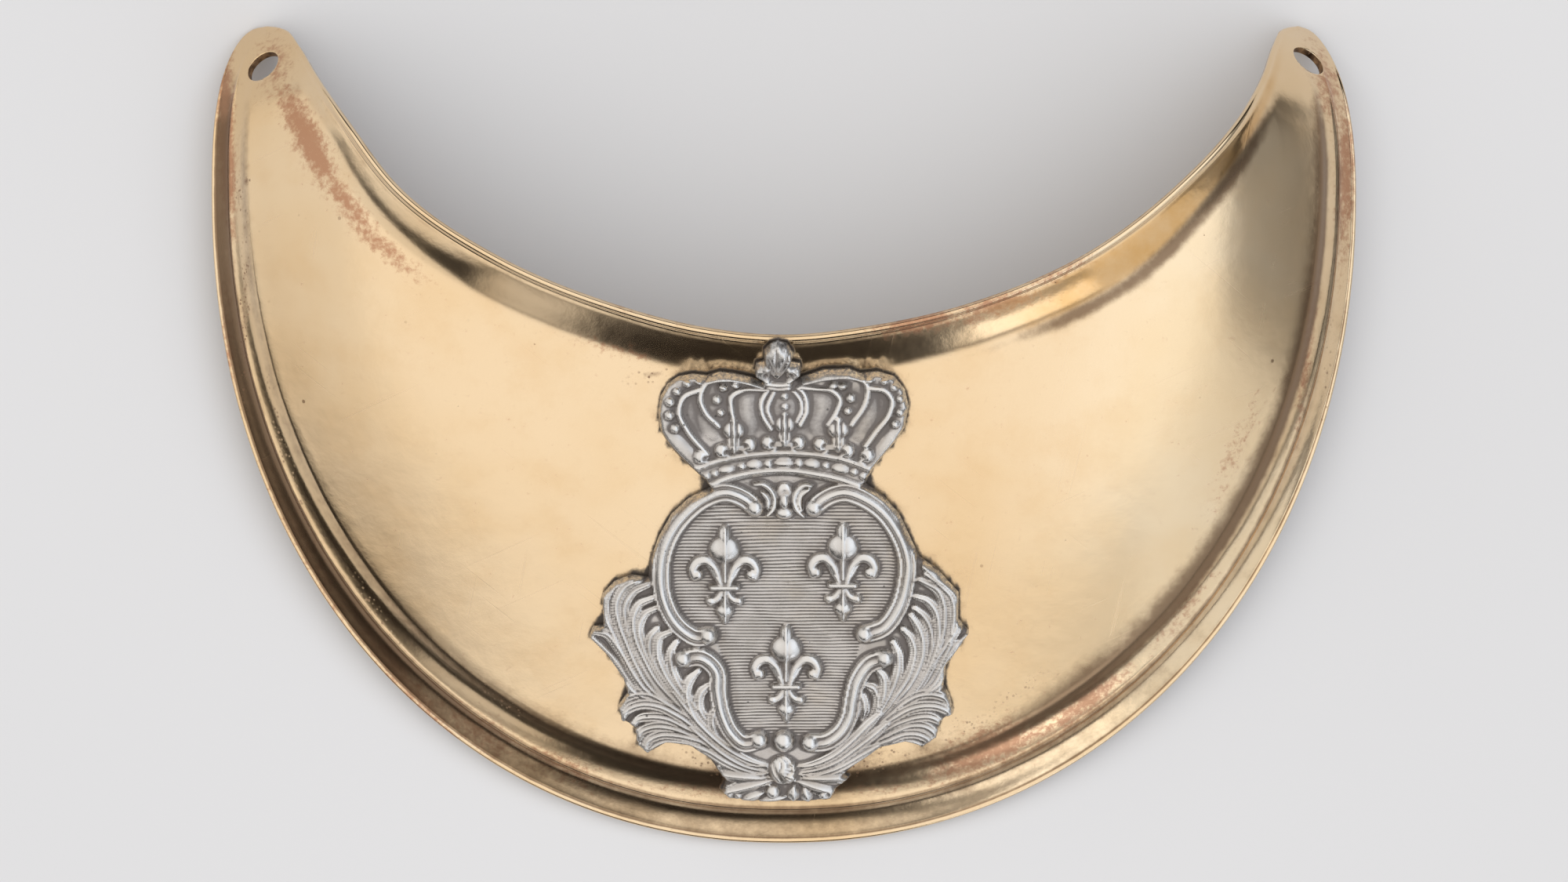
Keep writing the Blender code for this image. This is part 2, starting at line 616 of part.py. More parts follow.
def foot_places(sheet):
    """Middle and direction of each clench foot on the sheet's face."""
    places = []
    for across, up in FOOT_SPOTS:
        x, y = badge_place(across, up)
        x, y = np.array([x]), np.array([y])
        z = sheet.height(x, y, seat=True)
        places.append((Vector((x[0], y[0], z[0])), Vector(sheet.facing(x, y, seat=True)[0])))
    return places


def add_foot(badge, middle, facing, name, cutters):
    """A round foot cast on the badge, with its end bent flat behind the plate."""
    down = SHEET + FOOT_CLEAR + CLENCH_THICK
    bm = bmesh.new()
    length = down + BADGE_GAP + 0.5 * PLAQUE
    bmesh.ops.create_cone(bm, cap_ends=True, segments=PIN_SIDES, radius1=FOOT_RADIUS * MM,
                          radius2=FOOT_RADIUS * MM, depth=length * MM,
                          matrix=Matrix.Translation((0, 0, (length / 2 - down) * MM)))
    foot = add_object(bm, name, cutters)
    bm = bmesh.new()
    bmesh.ops.create_cone(bm, cap_ends=True, segments=PIN_SIDES, radius1=CLENCH / 2 * MM,
                          radius2=CLENCH / 2 * MM, depth=CLENCH_THICK * MM,
                          matrix=Matrix.Translation((0, 0, -(down - CLENCH_THICK / 2) * MM)))
    clench = add_object(bm, name + "_clench", cutters)
    turn = Vector((0, 0, 1)).rotation_difference(facing).to_matrix().to_4x4()
    for piece in (foot, clench):
        piece.data.transform(Matrix.Translation(middle * MM) @ turn)
        piece.hide_render = True
        piece.display_type = "WIRE"
        join = badge.modifiers.new(piece.name, "BOOLEAN")
        join.operation = "UNION"
        join.object = piece


def build():
    clear_scene()
    parts = bpy.data.collections.new("gorget")
    cutters = bpy.data.collections.new("cutters")
    for collection in (parts, cutters):
        bpy.context.scene.collection.children.link(collection)
    gilt = material("gilt_brass", (0.83, 0.62, 0.34), 1.0, 0.22)
    silver = material("cast_silver", (0.62, 0.60, 0.57), 1.0, 0.38)
    sheet = Sheet()

    plate = loft_plate(sheet, parts, gilt)
    for (middle, facing), side in zip(sheet.lands, ("left", "right")):
        drill(plate, middle, facing, HOLE / 2, "hole_" + side, cutters)
    feet = foot_places(sheet)
    for n, (middle, facing) in enumerate(feet):
        drill(plate, middle, facing, FOOT_RADIUS + FOOT_CLEAR, "foot_hole_" + str(n), cutters)

    badge = relief_block(parts, silver)
    trim = badge.modifiers.new("outline", "BOOLEAN")
    trim.operation = "INTERSECT"
    trim.object = outline_prism(cutters)
    bake(badge)
    bend_to_seat(badge, sheet)
    fewer = badge.modifiers.new("fewer_faces", "DECIMATE")
    fewer.ratio = BADGE_KEEP
    bake(badge)
    for n, (middle, facing) in enumerate(feet):
        add_foot(badge, middle, facing, "foot_" + str(n), cutters)

    bpy.context.view_layer.update()
    centre_on_table(plate, [plate, badge] + list(cutters.objects))


def centre_on_table(plate, objects):
    """Put the middle of the plate's box at the origin, with its rim on the table."""
    flat = np.empty(len(plate.data.vertices) * 3)
    plate.data.vertices.foreach_get("co", flat)
    pts = flat.reshape(-1, 3)
    low, high = pts.min(axis=0), pts.max(axis=0)
    shift = -Vector(((low[0] + high[0]) / 2, (low[1] + high[1]) / 2, low[2]))
    for obj in objects:
        obj.data.transform(Matrix.Translation(shift))


build()
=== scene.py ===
"""Looks of the officer's gorget: gilt brass crescent and cast silver badge on a pale table."""
import math

import bmesh
import bpy
import numpy as np
from mathutils import Matrix, Vector
from mathutils.geometry import delaunay_2d_cdt

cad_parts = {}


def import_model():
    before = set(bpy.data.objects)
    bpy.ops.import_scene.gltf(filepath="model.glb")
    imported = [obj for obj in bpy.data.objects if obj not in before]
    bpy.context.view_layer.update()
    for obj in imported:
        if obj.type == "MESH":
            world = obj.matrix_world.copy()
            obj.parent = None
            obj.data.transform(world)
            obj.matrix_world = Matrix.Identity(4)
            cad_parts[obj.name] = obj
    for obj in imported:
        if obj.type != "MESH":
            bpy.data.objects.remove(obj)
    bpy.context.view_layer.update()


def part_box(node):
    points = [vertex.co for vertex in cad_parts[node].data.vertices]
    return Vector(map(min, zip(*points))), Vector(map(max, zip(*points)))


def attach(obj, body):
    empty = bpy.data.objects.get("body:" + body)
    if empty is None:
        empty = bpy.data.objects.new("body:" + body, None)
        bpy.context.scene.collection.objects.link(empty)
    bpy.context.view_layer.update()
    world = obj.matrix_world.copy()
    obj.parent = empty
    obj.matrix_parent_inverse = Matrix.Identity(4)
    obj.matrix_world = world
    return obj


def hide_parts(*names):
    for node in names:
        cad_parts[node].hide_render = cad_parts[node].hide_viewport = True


MM = 0.001
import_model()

# Sizes that the part's source holds too, in millimetres

HALF_WIDTH = 72.8
FOOT_DROP = 82.9
HORN_RISE = 22.0
TIP_ACROSS = 66.0
NECK_DROP = 18.6
OUTER_POWER = 2.1
SHEET = 0.9
DOME_RISE = 26.0
FOOT_POWER = 1.2
DOME_TURN = 0.8
DIAGONAL_EASE = 0.6
CURL_START = 6.0
CURL_POWER = 2.5
TIP_HEIGHT = 0.4
FLANGE_RISE = 2.8
FLANGE_WIDTH = 6.2
FLANGE_NARROWING = 0.58
FLANGE_FILLET = 0.35
FLANGE_TURN = 0.7
BORDER_RISE = 1.8
HORNS = {
    "left": {"power": 2.6, "side_power": 2.9, "lift": 4.5, "hole_across": 66.1, "hole_up": 16.3},
    "right": {"power": 2.05, "side_power": 3.7, "lift": 6.0, "hole_across": 66.7, "hole_up": 17.0},
}
HOLE = 4.6
BADGE_HEIGHT = 58.2
BADGE_MIDDLE = -17.3
BADGE_GAP = 0.3
PLAQUE = 1.0
DRAWING = 592.0
FOOT_RADIUS = 0.75
FOOT_CLEAR = 0.35
CLENCH = 3.2
CLENCH_THICK = 0.7
FOOT_SPOTS = [(2, 470), (-100, 150), (104, 150)]
TIP_CUT = 0.006

# Sizes that are softer or finer here than in the source

FADE_START = 1.0          # where the moulding's run-out towards the tips starts and ends
FADE_END = 20.0
LAND_RADIUS = 1.5         # the flat round a ribbon hole, how it blends in and how flat it gets
LAND_BLEND = 7.0
LAND_SHARE = 0.4
NECK_LIP = 0.7            # the turned lip at the neck edge
NECK_LIP_RISE = 0.16
QUIRK_DEPTH = 0.05        # the groove below the lip
QUIRK_WIDTH = 0.22
LIP_DROP = 0.15           # how far the surface is lowered under the lip
LIP_DROP_REACH = 3.0
RIM_ROUND = [0.0, 0.05, 0.14, 0.26]       # steps in from an edge, where it rounds over
RIM_DROP = 0.24
BACK_EDGE_LIFT = 0.12     # how far the back's outermost points are drawn in
BACK_STEP = 4             # rows of the front to one row of the back
SECTIONS_PER_HALF = 215
FIELD_ROWS = 30
FLANGE_ROWS = 30
BORE_REACH = 4            # how far a hole's tool stands out on each side
SHARP_ANGLE = 50

BORDER_WIDTHS = [(0.00, 9.6), (0.30, 9.0), (0.50, 7.7), (0.68, 6.4), (0.85, 5.4), (1.00, 4.6)]

NECK = [
    {"up": 0.000, "left": 0.000, "right": 0.000},
    {"up": 0.025, "left": 0.140, "right": 0.140},
    {"up": 0.096, "left": 0.290, "right": 0.315},
    {"up": 0.240, "left": 0.483, "right": 0.506},
    {"up": 0.458, "left": 0.658, "right": 0.670},
    {"up": 0.679, "left": 0.754, "right": 0.784},
    {"up": 0.832, "left": 0.812, "right": 0.832},
    {"up": 0.930, "left": 0.847, "right": 0.855},
    {"up": 0.980, "left": 0.870, "right": 0.872},
]

# The border's moulding: share of its width from the rim, and height as a share of its rise
BORDER = [
    (0.000, 0.02), (0.012, 0.09), (0.032, 0.135), (0.052, 0.12), (0.066, 0.05), (0.078, -0.03),
    (0.094, -0.02), (0.14, -0.005), (0.20, 0.01), (0.27, 0.045), (0.33, 0.10), (0.38, 0.19),
    (0.42, 0.31), (0.452, 0.44), (0.475, 0.53), (0.492, 0.535), (0.51, 0.50), (0.54, 0.495),
    (0.60, 0.515), (0.66, 0.545), (0.73, 0.61), (0.80, 0.72), (0.86, 0.835), (0.91, 0.925),
    (0.95, 0.975), (1.00, 1.00),
]


def smooth_line(points, steps):
    pts = np.array(points, float)
    at = np.concatenate([[0.0], np.cumsum(np.hypot(*np.diff(pts, axis=0).T))])
    slope = np.gradient(pts, at, axis=0)
    want = np.linspace(0.0, at[-1], steps)
    i = np.clip(np.searchsorted(at, want, side="right") - 1, 0, len(pts) - 2)
    h = (at[i + 1] - at[i])[:, None]
    t = (want[:, None] - at[i][:, None]) / h
    return ((2 * t**3 - 3 * t**2 + 1) * pts[i] + (t**3 - 2 * t**2 + t) * h * slope[i]
            + (3 * t**2 - 2 * t**3) * pts[i + 1] + (t**3 - t**2) * h * slope[i + 1])


def resample(line, shares):
    at = np.concatenate([[0.0], np.cumsum(np.hypot(*np.diff(line, axis=0).T))])
    return np.stack([np.interp(np.asarray(shares) * at[-1], at, line[:, k]) for k in (0, 1)], axis=1)


def outer_half(side):
    turn = np.linspace(0.0, math.pi / 2, 160)
    low = np.stack([HALF_WIDTH * np.sin(turn) ** (2 / OUTER_POWER),
                    -FOOT_DROP * np.cos(turn) ** (2 / OUTER_POWER)], axis=1)
    power = HORNS[side]["power"]
    horn = np.stack([TIP_ACROSS + (HALF_WIDTH - TIP_ACROSS) * np.cos(turn) ** (2 / power),
                     HORN_RISE * np.sin(turn) ** (2 / power)], axis=1)
    return np.concatenate([low, horn[1:]])


def neck_half(side):
    rise = NECK_DROP + HORN_RISE
    rows = [(row[side] * HALF_WIDTH, row["up"] * rise - NECK_DROP) for row in NECK]
    before = [(-rows[1][0], rows[1][1])]
    past_tip = [(TIP_ACROSS, HORN_RISE), (TIP_ACROSS + 2.5, HORN_RISE - 0.4)]
    line = smooth_line(before + rows + past_tip, 500)
    return line[(line[:, 0] >= 0.0) & (line[:, 0] <= TIP_ACROSS)]


def whole_edge(right, left):
    return np.concatenate([(left * [-1, 1])[::-1], right[1:]])


def read(table, at):
    """A table of pairs, read between its rows."""
    return np.interp(at, *zip(*table))


def spots_on(points, line):
    """The spot nearest each point on one stretch of a line, for each stretch in turn."""
    for start, end in zip(line[:-1], line[1:]):
        run = end - start
        t = np.clip(((points - start) @ run) / max(run @ run, 1e-12), 0.0, 1.0)
        yield start + t[:, None] * run


def distance(points, line):
    best = np.full(len(points), 1e18)
    for spot in spots_on(points, line):
        gap = points - spot
        best = np.minimum(best, gap[:, 0] ** 2 + gap[:, 1] ** 2)
    return np.sqrt(best)


def nearest_on(points, ring):
    """The spot nearest each point on a closed ring, and how far it is."""
    best, nearest = np.full(len(points), 1e18), np.zeros((len(points), 2))
    for spot in spots_on(points, np.concatenate([ring, ring[:1]])):
        far = ((points - spot) ** 2).sum(axis=1)
        closer = far < best
        best[closer], nearest[closer] = far[closer], spot[closer]
    return nearest, np.sqrt(best)


def ease(t):
    t = np.clip(t, 0.0, 1.0)
    return t * t * (3 - 2 * t)


def station(x, y):
    turn = np.arctan2(np.abs(x) / HALF_WIDTH, -y / FOOT_DROP)
    full = math.atan2(TIP_ACROSS / HALF_WIDTH, -HORN_RISE / FOOT_DROP)
    return turn / full


def by_side(x, key):
    return np.where(np.asarray(x) < 0, HORNS["left"][key], HORNS["right"][key])


def dome(x, y):
    across, up = np.abs(x) / HALF_WIDTH, np.abs(y) / FOOT_DROP
    reach = (across**OUTER_POWER + up**OUTER_POWER) ** (1 / OUTER_POWER)
    sideways = ease(across / DOME_TURN) * np.where(y < 0, 1 - DIAGONAL_EASE * ease(up / DOME_TURN), 1.0)
    power = FOOT_POWER + (by_side(x, "side_power") - FOOT_POWER) * sideways
    return DOME_RISE * (1 - reach**power) + by_side(x, "lift") * across**2


def curl(x, y):
    drop = [dome(side * TIP_ACROSS, HORN_RISE) - TIP_HEIGHT for side in (-1, 1)]
    share = np.clip((y - CURL_START) / (HORN_RISE - CURL_START), 0, None)
    return np.where(x < 0, drop[0], drop[1]) * share**CURL_POWER


def tip_fade(x, y):
    from_tip = np.hypot(np.abs(x) - TIP_ACROSS, y - HORN_RISE)
    return ease((from_tip - FADE_START) / (FADE_END - FADE_START))


def border_width(x, y):
    return read(BORDER_WIDTHS, station(x, y))


def flange_size(x, y):
    """How wide and high the flange is, as a share of its most."""
    return 1 - FLANGE_NARROWING * ease((station(x, y) - FLANGE_TURN) / (1 - FLANGE_TURN))


class Sheet:
    """The smooth surface of the plate, with its edges as lines in plan."""

    def __init__(self):
        self.outer = whole_edge(outer_half("right"), outer_half("left"))
        self.neck = whole_edge(neck_half("right"), neck_half("left"))
        self.lands = []          # none, while the heights under them are taken
        self.lands = [self.land(side, sign) for side, sign in (("left", -1), ("right", 1))]

    def land(self, side, sign):
        """Middle and direction of the flat round one ribbon hole."""
        x, y = np.array([sign * HORNS[side]["hole_across"]]), np.array([HORNS[side]["hole_up"]])
        return Vector((x[0], y[0], self.height(x, y)[0])), Vector(self.facing(x, y)[0])

    def neck_distance(self, x, y):
        return distance(np.stack([x, y], axis=1), self.neck[::4])

    def border_share(self, x, y):
        return distance(np.stack([x, y], axis=1), self.outer[::3]) / border_width(x, y)

    def flange(self, x, y):
        size = flange_size(x, y)
        gap = self.neck_distance(x, y)
        gap = np.where(y > np.interp(x, self.neck[:, 0], self.neck[:, 1]), 0.0, gap)
        reach = np.clip(1 - gap / (FLANGE_WIDTH * size), 0, 1)
        slope = np.where(reach < FLANGE_FILLET, reach**2 / (2 * FLANGE_FILLET), reach - FLANGE_FILLET / 2)
        return FLANGE_RISE * size * slope / (1 - FLANGE_FILLET / 2) * tip_fade(x, y)

    def height(self, x, y, seat=False):
        share = 1.0 if seat else np.clip(self.border_share(x, y), 0, 1)
        z = dome(x, y) - curl(x, y) + BORDER_RISE * share * tip_fade(x, y) + self.flange(x, y)
        for middle, facing in self.lands:
            off = np.hypot(x - middle.x, y - middle.y)
            blend = LAND_SHARE * (1 - ease((off - LAND_RADIUS) / LAND_BLEND))
            flat = middle.z - (facing.x * (x - middle.x) + facing.y * (y - middle.y)) / facing.z
            z = z + (flat - z) * blend
        return z

    def facing(self, x, y, seat=False):
        e = 0.05
        gx = (self.height(x + e, y, seat) - self.height(x - e, y, seat)) / (2 * e)
        gy = (self.height(x, y + e, seat) - self.height(x, y - e, seat)) / (2 * e)
        n = np.stack([-gx, -gy, np.ones_like(gx)], axis=1)
        return n / np.linalg.norm(n, axis=1)[:, None]


def edge_frames(line, shares):
    at = resample(line, shares)
    along = resample(line, np.clip(shares + 0.002, 0, 1)) - resample(line, np.clip(shares - 0.002, 0, 1))
    inward = np.stack([-along[:, 1], along[:, 0]], axis=1)
    return at, inward / np.hypot(inward[:, 0], inward[:, 1])[:, None]


def half_plan(side):
    """Plan points of every section of one half, from the outer rim to the neck edge."""
    to_go = np.linspace(1.0, 0.0, SECTIONS_PER_HALF + 1)
    to_go = TIP_CUT + (1 - TIP_CUT) * (0.75 * to_go + 0.25 * to_go**2)
    far, inward = edge_frames(outer_half(side), 1 - to_go)
    near, outward = edge_frames(neck_half(side), 1 - to_go * (1 + 0.5 * (1 - to_go)))
    run = near - far
    chord = np.hypot(run[:, 0], run[:, 1])
    straight = ease((0.3 - to_go) / 0.25)[:, None]
    inward = inward + (run / chord[:, None] - inward) * straight
    outward = outward + (run / chord[:, None] - outward) * straight
    border = np.minimum(border_width(far[:, 0], far[:, 1]), 0.45 * chord)[:, None]
    lip = np.minimum(FLANGE_WIDTH * 1.1, 0.4 * chord)[:, None]
    keys = np.array([share for share, _ in BORDER])
    shares = np.concatenate([np.linspace(a, b, 3)[:-1] for a, b in zip(keys[:-1], keys[1:])] + [[1.0]])
    shares = shares[shares * 9.6 > RIM_ROUND[-1] + 0.05]
    scale = np.minimum(1.0, chord / 2.5)[:, None]
    rows = [far + inward * inset * scale for inset in RIM_ROUND]
    rows += [far + inward * np.maximum(border * share, RIM_ROUND[-1] * scale * 1.02) for share in shares]
    start, stop = rows[-1], near - outward * lip
    rows += [start + (stop - start) * share for share in np.linspace(0, 1, FIELD_ROWS + 1)[1:-1]]
    tail = RIM_ROUND[-1] * scale
    steps = np.linspace(1, 0, FLANGE_ROWS) ** 1.25
    rows += [near - outward * (tail + (lip - tail) * step) for step in steps]
    rows += [near - outward * inset * scale for inset in RIM_ROUND[::-1][1:]]
    return np.stack(rows, axis=1)


def border_relief(share, x, y):
    return BORDER_RISE * (read(BORDER, share) - np.clip(share, 0, 1)) * tip_fade(x, y)


def neck_relief(gap, x, y):
    """The turned lip along the neck edge, and the quirk below it."""
    half = NECK_LIP / 2
    lip = NECK_LIP_RISE * np.sqrt(np.clip(1 - ((gap - half) / half) ** 2, 0, 1))
    quirk = QUIRK_DEPTH * np.exp(-((gap - 1.25 * NECK_LIP) / QUIRK_WIDTH) ** 2)
    lowered = LIP_DROP * ease(1 - gap / LIP_DROP_REACH)
    return (lip - quirk) * (0.35 + 0.65 * tip_fade(x, y)) - lowered


# Where the plate is worn or stained: middle, reach along and across in millimetres,
# turn in degrees, and strength

COPPER = [
    (-59.5, 37.0, 8.5, 2.0, 118, 0.9), (-54.5, 29.0, 6.0, 1.6, 128, 0.7), (-50.0, 23.5, 7.0, 1.4, 140, 0.6),
    (-64.5, 46.5, 5.0, 2.6, 100, 0.5), (-70.8, 38.0, 13.0, 1.3, 93, 1.0), (-70.5, 12.0, 12.0, 1.0, 92, 0.5),
    (-60.0, -16.0, 14.0, 2.0, 118, 0.45), (-48.0, -32.0, 14.0, 1.8, 128, 0.6),
    (-38.5, -38.0, 7.0, 2.4, 150, 0.55),
    (-28.0, -42.5, 7.0, 2.2, 155, 0.5), (0.0, -44.8, 18.0, 1.4, 0, 0.55), (26.0, -40.0, 9.0, 2.6, 24, 0.85),
    (38.0, -34.5, 9.0, 2.2, 38, 0.7), (51.0, -22.0, 9.0, 1.6, 52, 0.4), (71.3, 33.0, 12.0, 1.5, 88, 0.75),
    (69.0, 44.0, 6.0, 2.2, 100, 0.6), (17.0, 13.8, 7.0, 1.6, 12, 0.8), (26.0, 15.8, 7.0, 1.5, 16, 0.7),
    (34.0, 20.0, 6.0, 1.4, 26, 0.5), (-14.0, 15.0, 9.0, 0.9, -6, 0.4), (-20.0, 10.5, 6.0, 1.0, -14, 0.5),
    (57.0, -2.0, 9.0, 1.6, 66, 0.35), (66.0, 9.0, 14.0, 0.9, 84, 0.55),
]
STAINS = [
    (-67.8, 31.9, 0.9, 0.6, 80, 1.0), (-68.9, 30.0, 3.0, 0.9, 92, 0.7), (-68.2, 16.0, 12.0, 0.8, 88, 0.8),
    (-64.0, 1.0, 9.0, 0.8, 100, 0.6), (-15.5, -35.5, 5.5, 1.3, 160, 0.7), (-9.0, -42.0, 6.0, 1.6, 165, 0.7),
    (10.5, -41.5, 7.0, 1.8, 14, 0.8), (22.0, -37.2, 6.0, 1.3, 22, 0.7), (30.0, -32.0, 6.0, 1.0, 34, 0.5),
    (-36.0, -33.5, 5.0, 1.2, 140, 0.5), (-16.8, 7.2, 3.2, 0.9, 10, 0.8), (-15.3, -18.3, 2.2, 0.9, 60, 0.5),
    (-52.0, -22.0, 9.0, 0.9, 122, 0.6), (-62.0, -6.0, 8.0, 0.9, 106, 0.5), (69.0, 6.0, 14.0, 0.8, 88, 0.5),
]

# How dark the border is, from tarnish in its hollows and painted shade where its steep slopes would mirror
# the dark room: share of its width from the rim, and strength
TARNISH_AND_SHADE = [
    (0.00, 0.15), (0.055, 0.20), (0.075, 0.95), (0.10, 0.60), (0.14, 0.50), (0.30, 0.52), (0.38, 0.66),
    (0.45, 0.70), (0.50, 0.72), (0.53, 0.26), (0.62, 0.16), (0.73, 0.26), (0.80, 0.68), (0.88, 0.78),
    (0.96, 0.58), (1.02, 0.28), (1.20, 0.12), (1.35, 0.0),
]


def patches(table, x, y):
    total = np.zeros(len(x))
    for across, up, long, wide, turn, strength in table:
        c, s = math.cos(math.radians(turn)), math.sin(math.radians(turn))
        dx, dy = x - across, y - up
        total = np.maximum(total, strength * np.exp(-(((dx * c + dy * s) / long) ** 2
                                                      + ((dy * c - dx * s) / wide) ** 2)))
    return total


OUTLINE = [
    (-7, 592), (5, 589), (13, 577), (10, 567), (21, 565), (23, 556), (12, 548), (19, 546),
    (51, 557), (83, 558), (97, 552), (119, 554), (140, 547), (154, 530), (159, 509), (154, 482),
    (142, 464), (131, 451), (116, 433), (105, 412), (128, 395), (148, 373), (166, 335),
    (174, 318), (195, 304), (224, 273), (224, 239), (238, 222), (209, 180), (206, 153),
    (214, 139), (219, 118), (203, 108), (198, 87), (180, 74), (157, 81), (126, 73), (95, 50),
    (78, 36), (85, 31), (69, 18), (62, 4), (30, 0), (-40, 1), (-70, 5), (-79, 13), (-74, 27),
    (-83, 40), (-95, 57), (-120, 75), (-150, 79), (-175, 65), (-188, 77), (-192, 100),
    (-208, 108), (-212, 125), (-200, 143), (-205, 163), (-225, 193), (-248, 217), (-243, 229),
    (-230, 230), (-231, 270), (-215, 287), (-193, 295), (-172, 292), (-170, 313), (-158, 345),
    (-142, 373), (-120, 393), (-92, 407), (-100, 417), (-118, 433), (-132, 446), (-146, 462),
    (-155, 478), (-158, 500), (-155, 521), (-146, 537), (-132, 547), (-114, 551), (-96, 549),
    (-80, 554), (-62, 552), (-39, 547), (-26, 541), (-26, 549), (-36, 555), (-34, 565),
    (-24, 568), (-24, 581), (-16, 589),
]


def unit():
    return BADGE_HEIGHT / DRAWING


def plate_middle():
    return (FOOT_DROP - HORN_RISE) / 2


def badge_place(across, up):
    return across * unit(), (up - DRAWING / 2) * unit() + BADGE_MIDDLE - plate_middle()


def inside(points, ring):
    """Which points lie inside a closed ring."""
    hit = np.zeros(len(points), bool)
    for a, b in zip(ring, np.roll(ring, -1, axis=0)):
        crosses = (a[1] > points[:, 1]) != (b[1] > points[:, 1])
        if a[1] != b[1]:
            at = a[0] + (points[:, 1] - a[1]) * (b[0] - a[0]) / (b[1] - a[1])
            hit ^= crosses & (points[:, 0] < at)
    return hit


def badge_ring():
    """The badge's outline in the plan of the plate."""
    x, y = badge_place(*np.array(OUTLINE, float).T)
    return np.stack([x, y], axis=1)


class Graph:
    """Short names for the nodes of one shader tree."""

    def __init__(self, tree):
        self.tree = tree
        tree.nodes.clear()

    def node(self, kind, **settings):
        made = self.tree.nodes.new(kind)
        for key, value in settings.items():
            setattr(made, key, value)
        return made

    def put(self, socket, value):
        if isinstance(value, bpy.types.NodeSocket):
            self.tree.links.new(value, socket)
        elif isinstance(value, tuple) and len(value) == 3 and socket.type == "RGBA":
            socket.default_value = (*value, 1.0)
        else:
            socket.default_value = value

    def fill(self, made, inputs):
        """Set or link a node's inputs, given by name or number."""
        for key, value in inputs.items():
            self.put(made.inputs[key], value)
        return made

    def math(self, operation, a, b=0.0):
        return self.fill(self.node("ShaderNodeMath", operation=operation), {0: a, 1: b}).outputs[0]

    def plus(self, a, b):
        return self.math("ADD", a, b)

    def minus(self, a, b):
        return self.math("SUBTRACT", a, b)

    def times(self, a, b):
        return self.math("MULTIPLY", a, b)

    def most(self, first, *others):
        for other in others:
            first = self.math("MAXIMUM", first, other)
        return first

    def vector(self, operation, a, b=(0.0, 0.0, 0.0)):
        made = self.node("ShaderNodeVectorMath", operation=operation)
        return self.fill(made, {0: a, 1: b}).outputs["Vector"]

    def between(self, value, low, high, first=0.0, last=1.0):
        made = self.node("ShaderNodeMapRange", interpolation_type="SMOOTHSTEP")
        return self.fill(made, dict(enumerate((value, low, high, first, last)))).outputs[0]

    def mix(self, share, a, b):
        return self.fill(self.node("ShaderNodeMix", data_type="RGBA"), {0: share, 6: a, 7: b}).outputs[2]

    def coat(self, colour, share, strength, tint):
        """A tint laid over a colour."""
        return self.mix(self.times(share, strength), colour, tint)

    def noise(self, at, scale, detail=3.0, rough=0.55):
        inputs = {"Vector": at, "Scale": scale, "Detail": detail, "Roughness": rough}
        return self.fill(self.node("ShaderNodeTexNoise"), inputs).outputs["Fac"]

    def spots(self, at, scale, size, soft):
        made = self.fill(self.node("ShaderNodeTexVoronoi"), {"Vector": at, "Scale": scale})
        return self.between(made.outputs["Distance"], size + soft, size)

    def attribute(self, name):
        return self.node("ShaderNodeAttribute", attribute_name=name).outputs["Fac"]

    def place(self):
        return self.node("ShaderNodeTexCoord").outputs["Object"]

    def turned(self, at, turn, stretch):
        made = self.fill(self.node("ShaderNodeMapping", vector_type="TEXTURE"), {"Vector": at})
        made.inputs["Rotation"].default_value = (0.0, 0.0, math.radians(turn))
        made.inputs["Scale"].default_value = tuple(1 / k for k in stretch)
        return made.outputs[0]

    def bump(self, height, strength, reach, normal=None):
        inputs = {"Strength": strength, "Distance": reach, "Height": height}
        made = self.fill(self.node("ShaderNodeBump"), inputs)
        if normal is not None:
            self.put(made.inputs["Normal"], normal)
        return made.outputs[0]

    def surface(self, **sockets):
        inputs = {name.replace("_", " "): value for name, value in sockets.items()}
        made = self.fill(self.node("ShaderNodeBsdfPrincipled"), inputs)
        self.put(self.node("ShaderNodeOutputMaterial").inputs["Surface"], made.outputs[0])


def new_material(name):
    mat = bpy.data.materials.new(name)
    mat.use_nodes = True
    return mat, Graph(mat.node_tree)


# Scratches of the brass: turn in degrees, and scale of the noise across and along them
SCRATCHES = [(24, 2600.0, 26.0), (-38, 2200.0, 34.0), (78, 1900.0, 30.0)]


def scratches(g, at):
    """Fine straight lines in a few directions, each in patches of its own."""
    lines = []
    for turn, across, along in SCRATCHES:
        streak = g.noise(g.turned(at, turn, (along, across, along)), 1.0, 2, 0.5)
        patch = g.between(g.noise(g.vector("ADD", at, (turn * 0.01, 0.3, 0.1)), 55.0, 2), 0.46, 0.66)
        lines.append(g.times(g.between(streak, 0.66, 0.78), patch))
    return g.most(*lines)


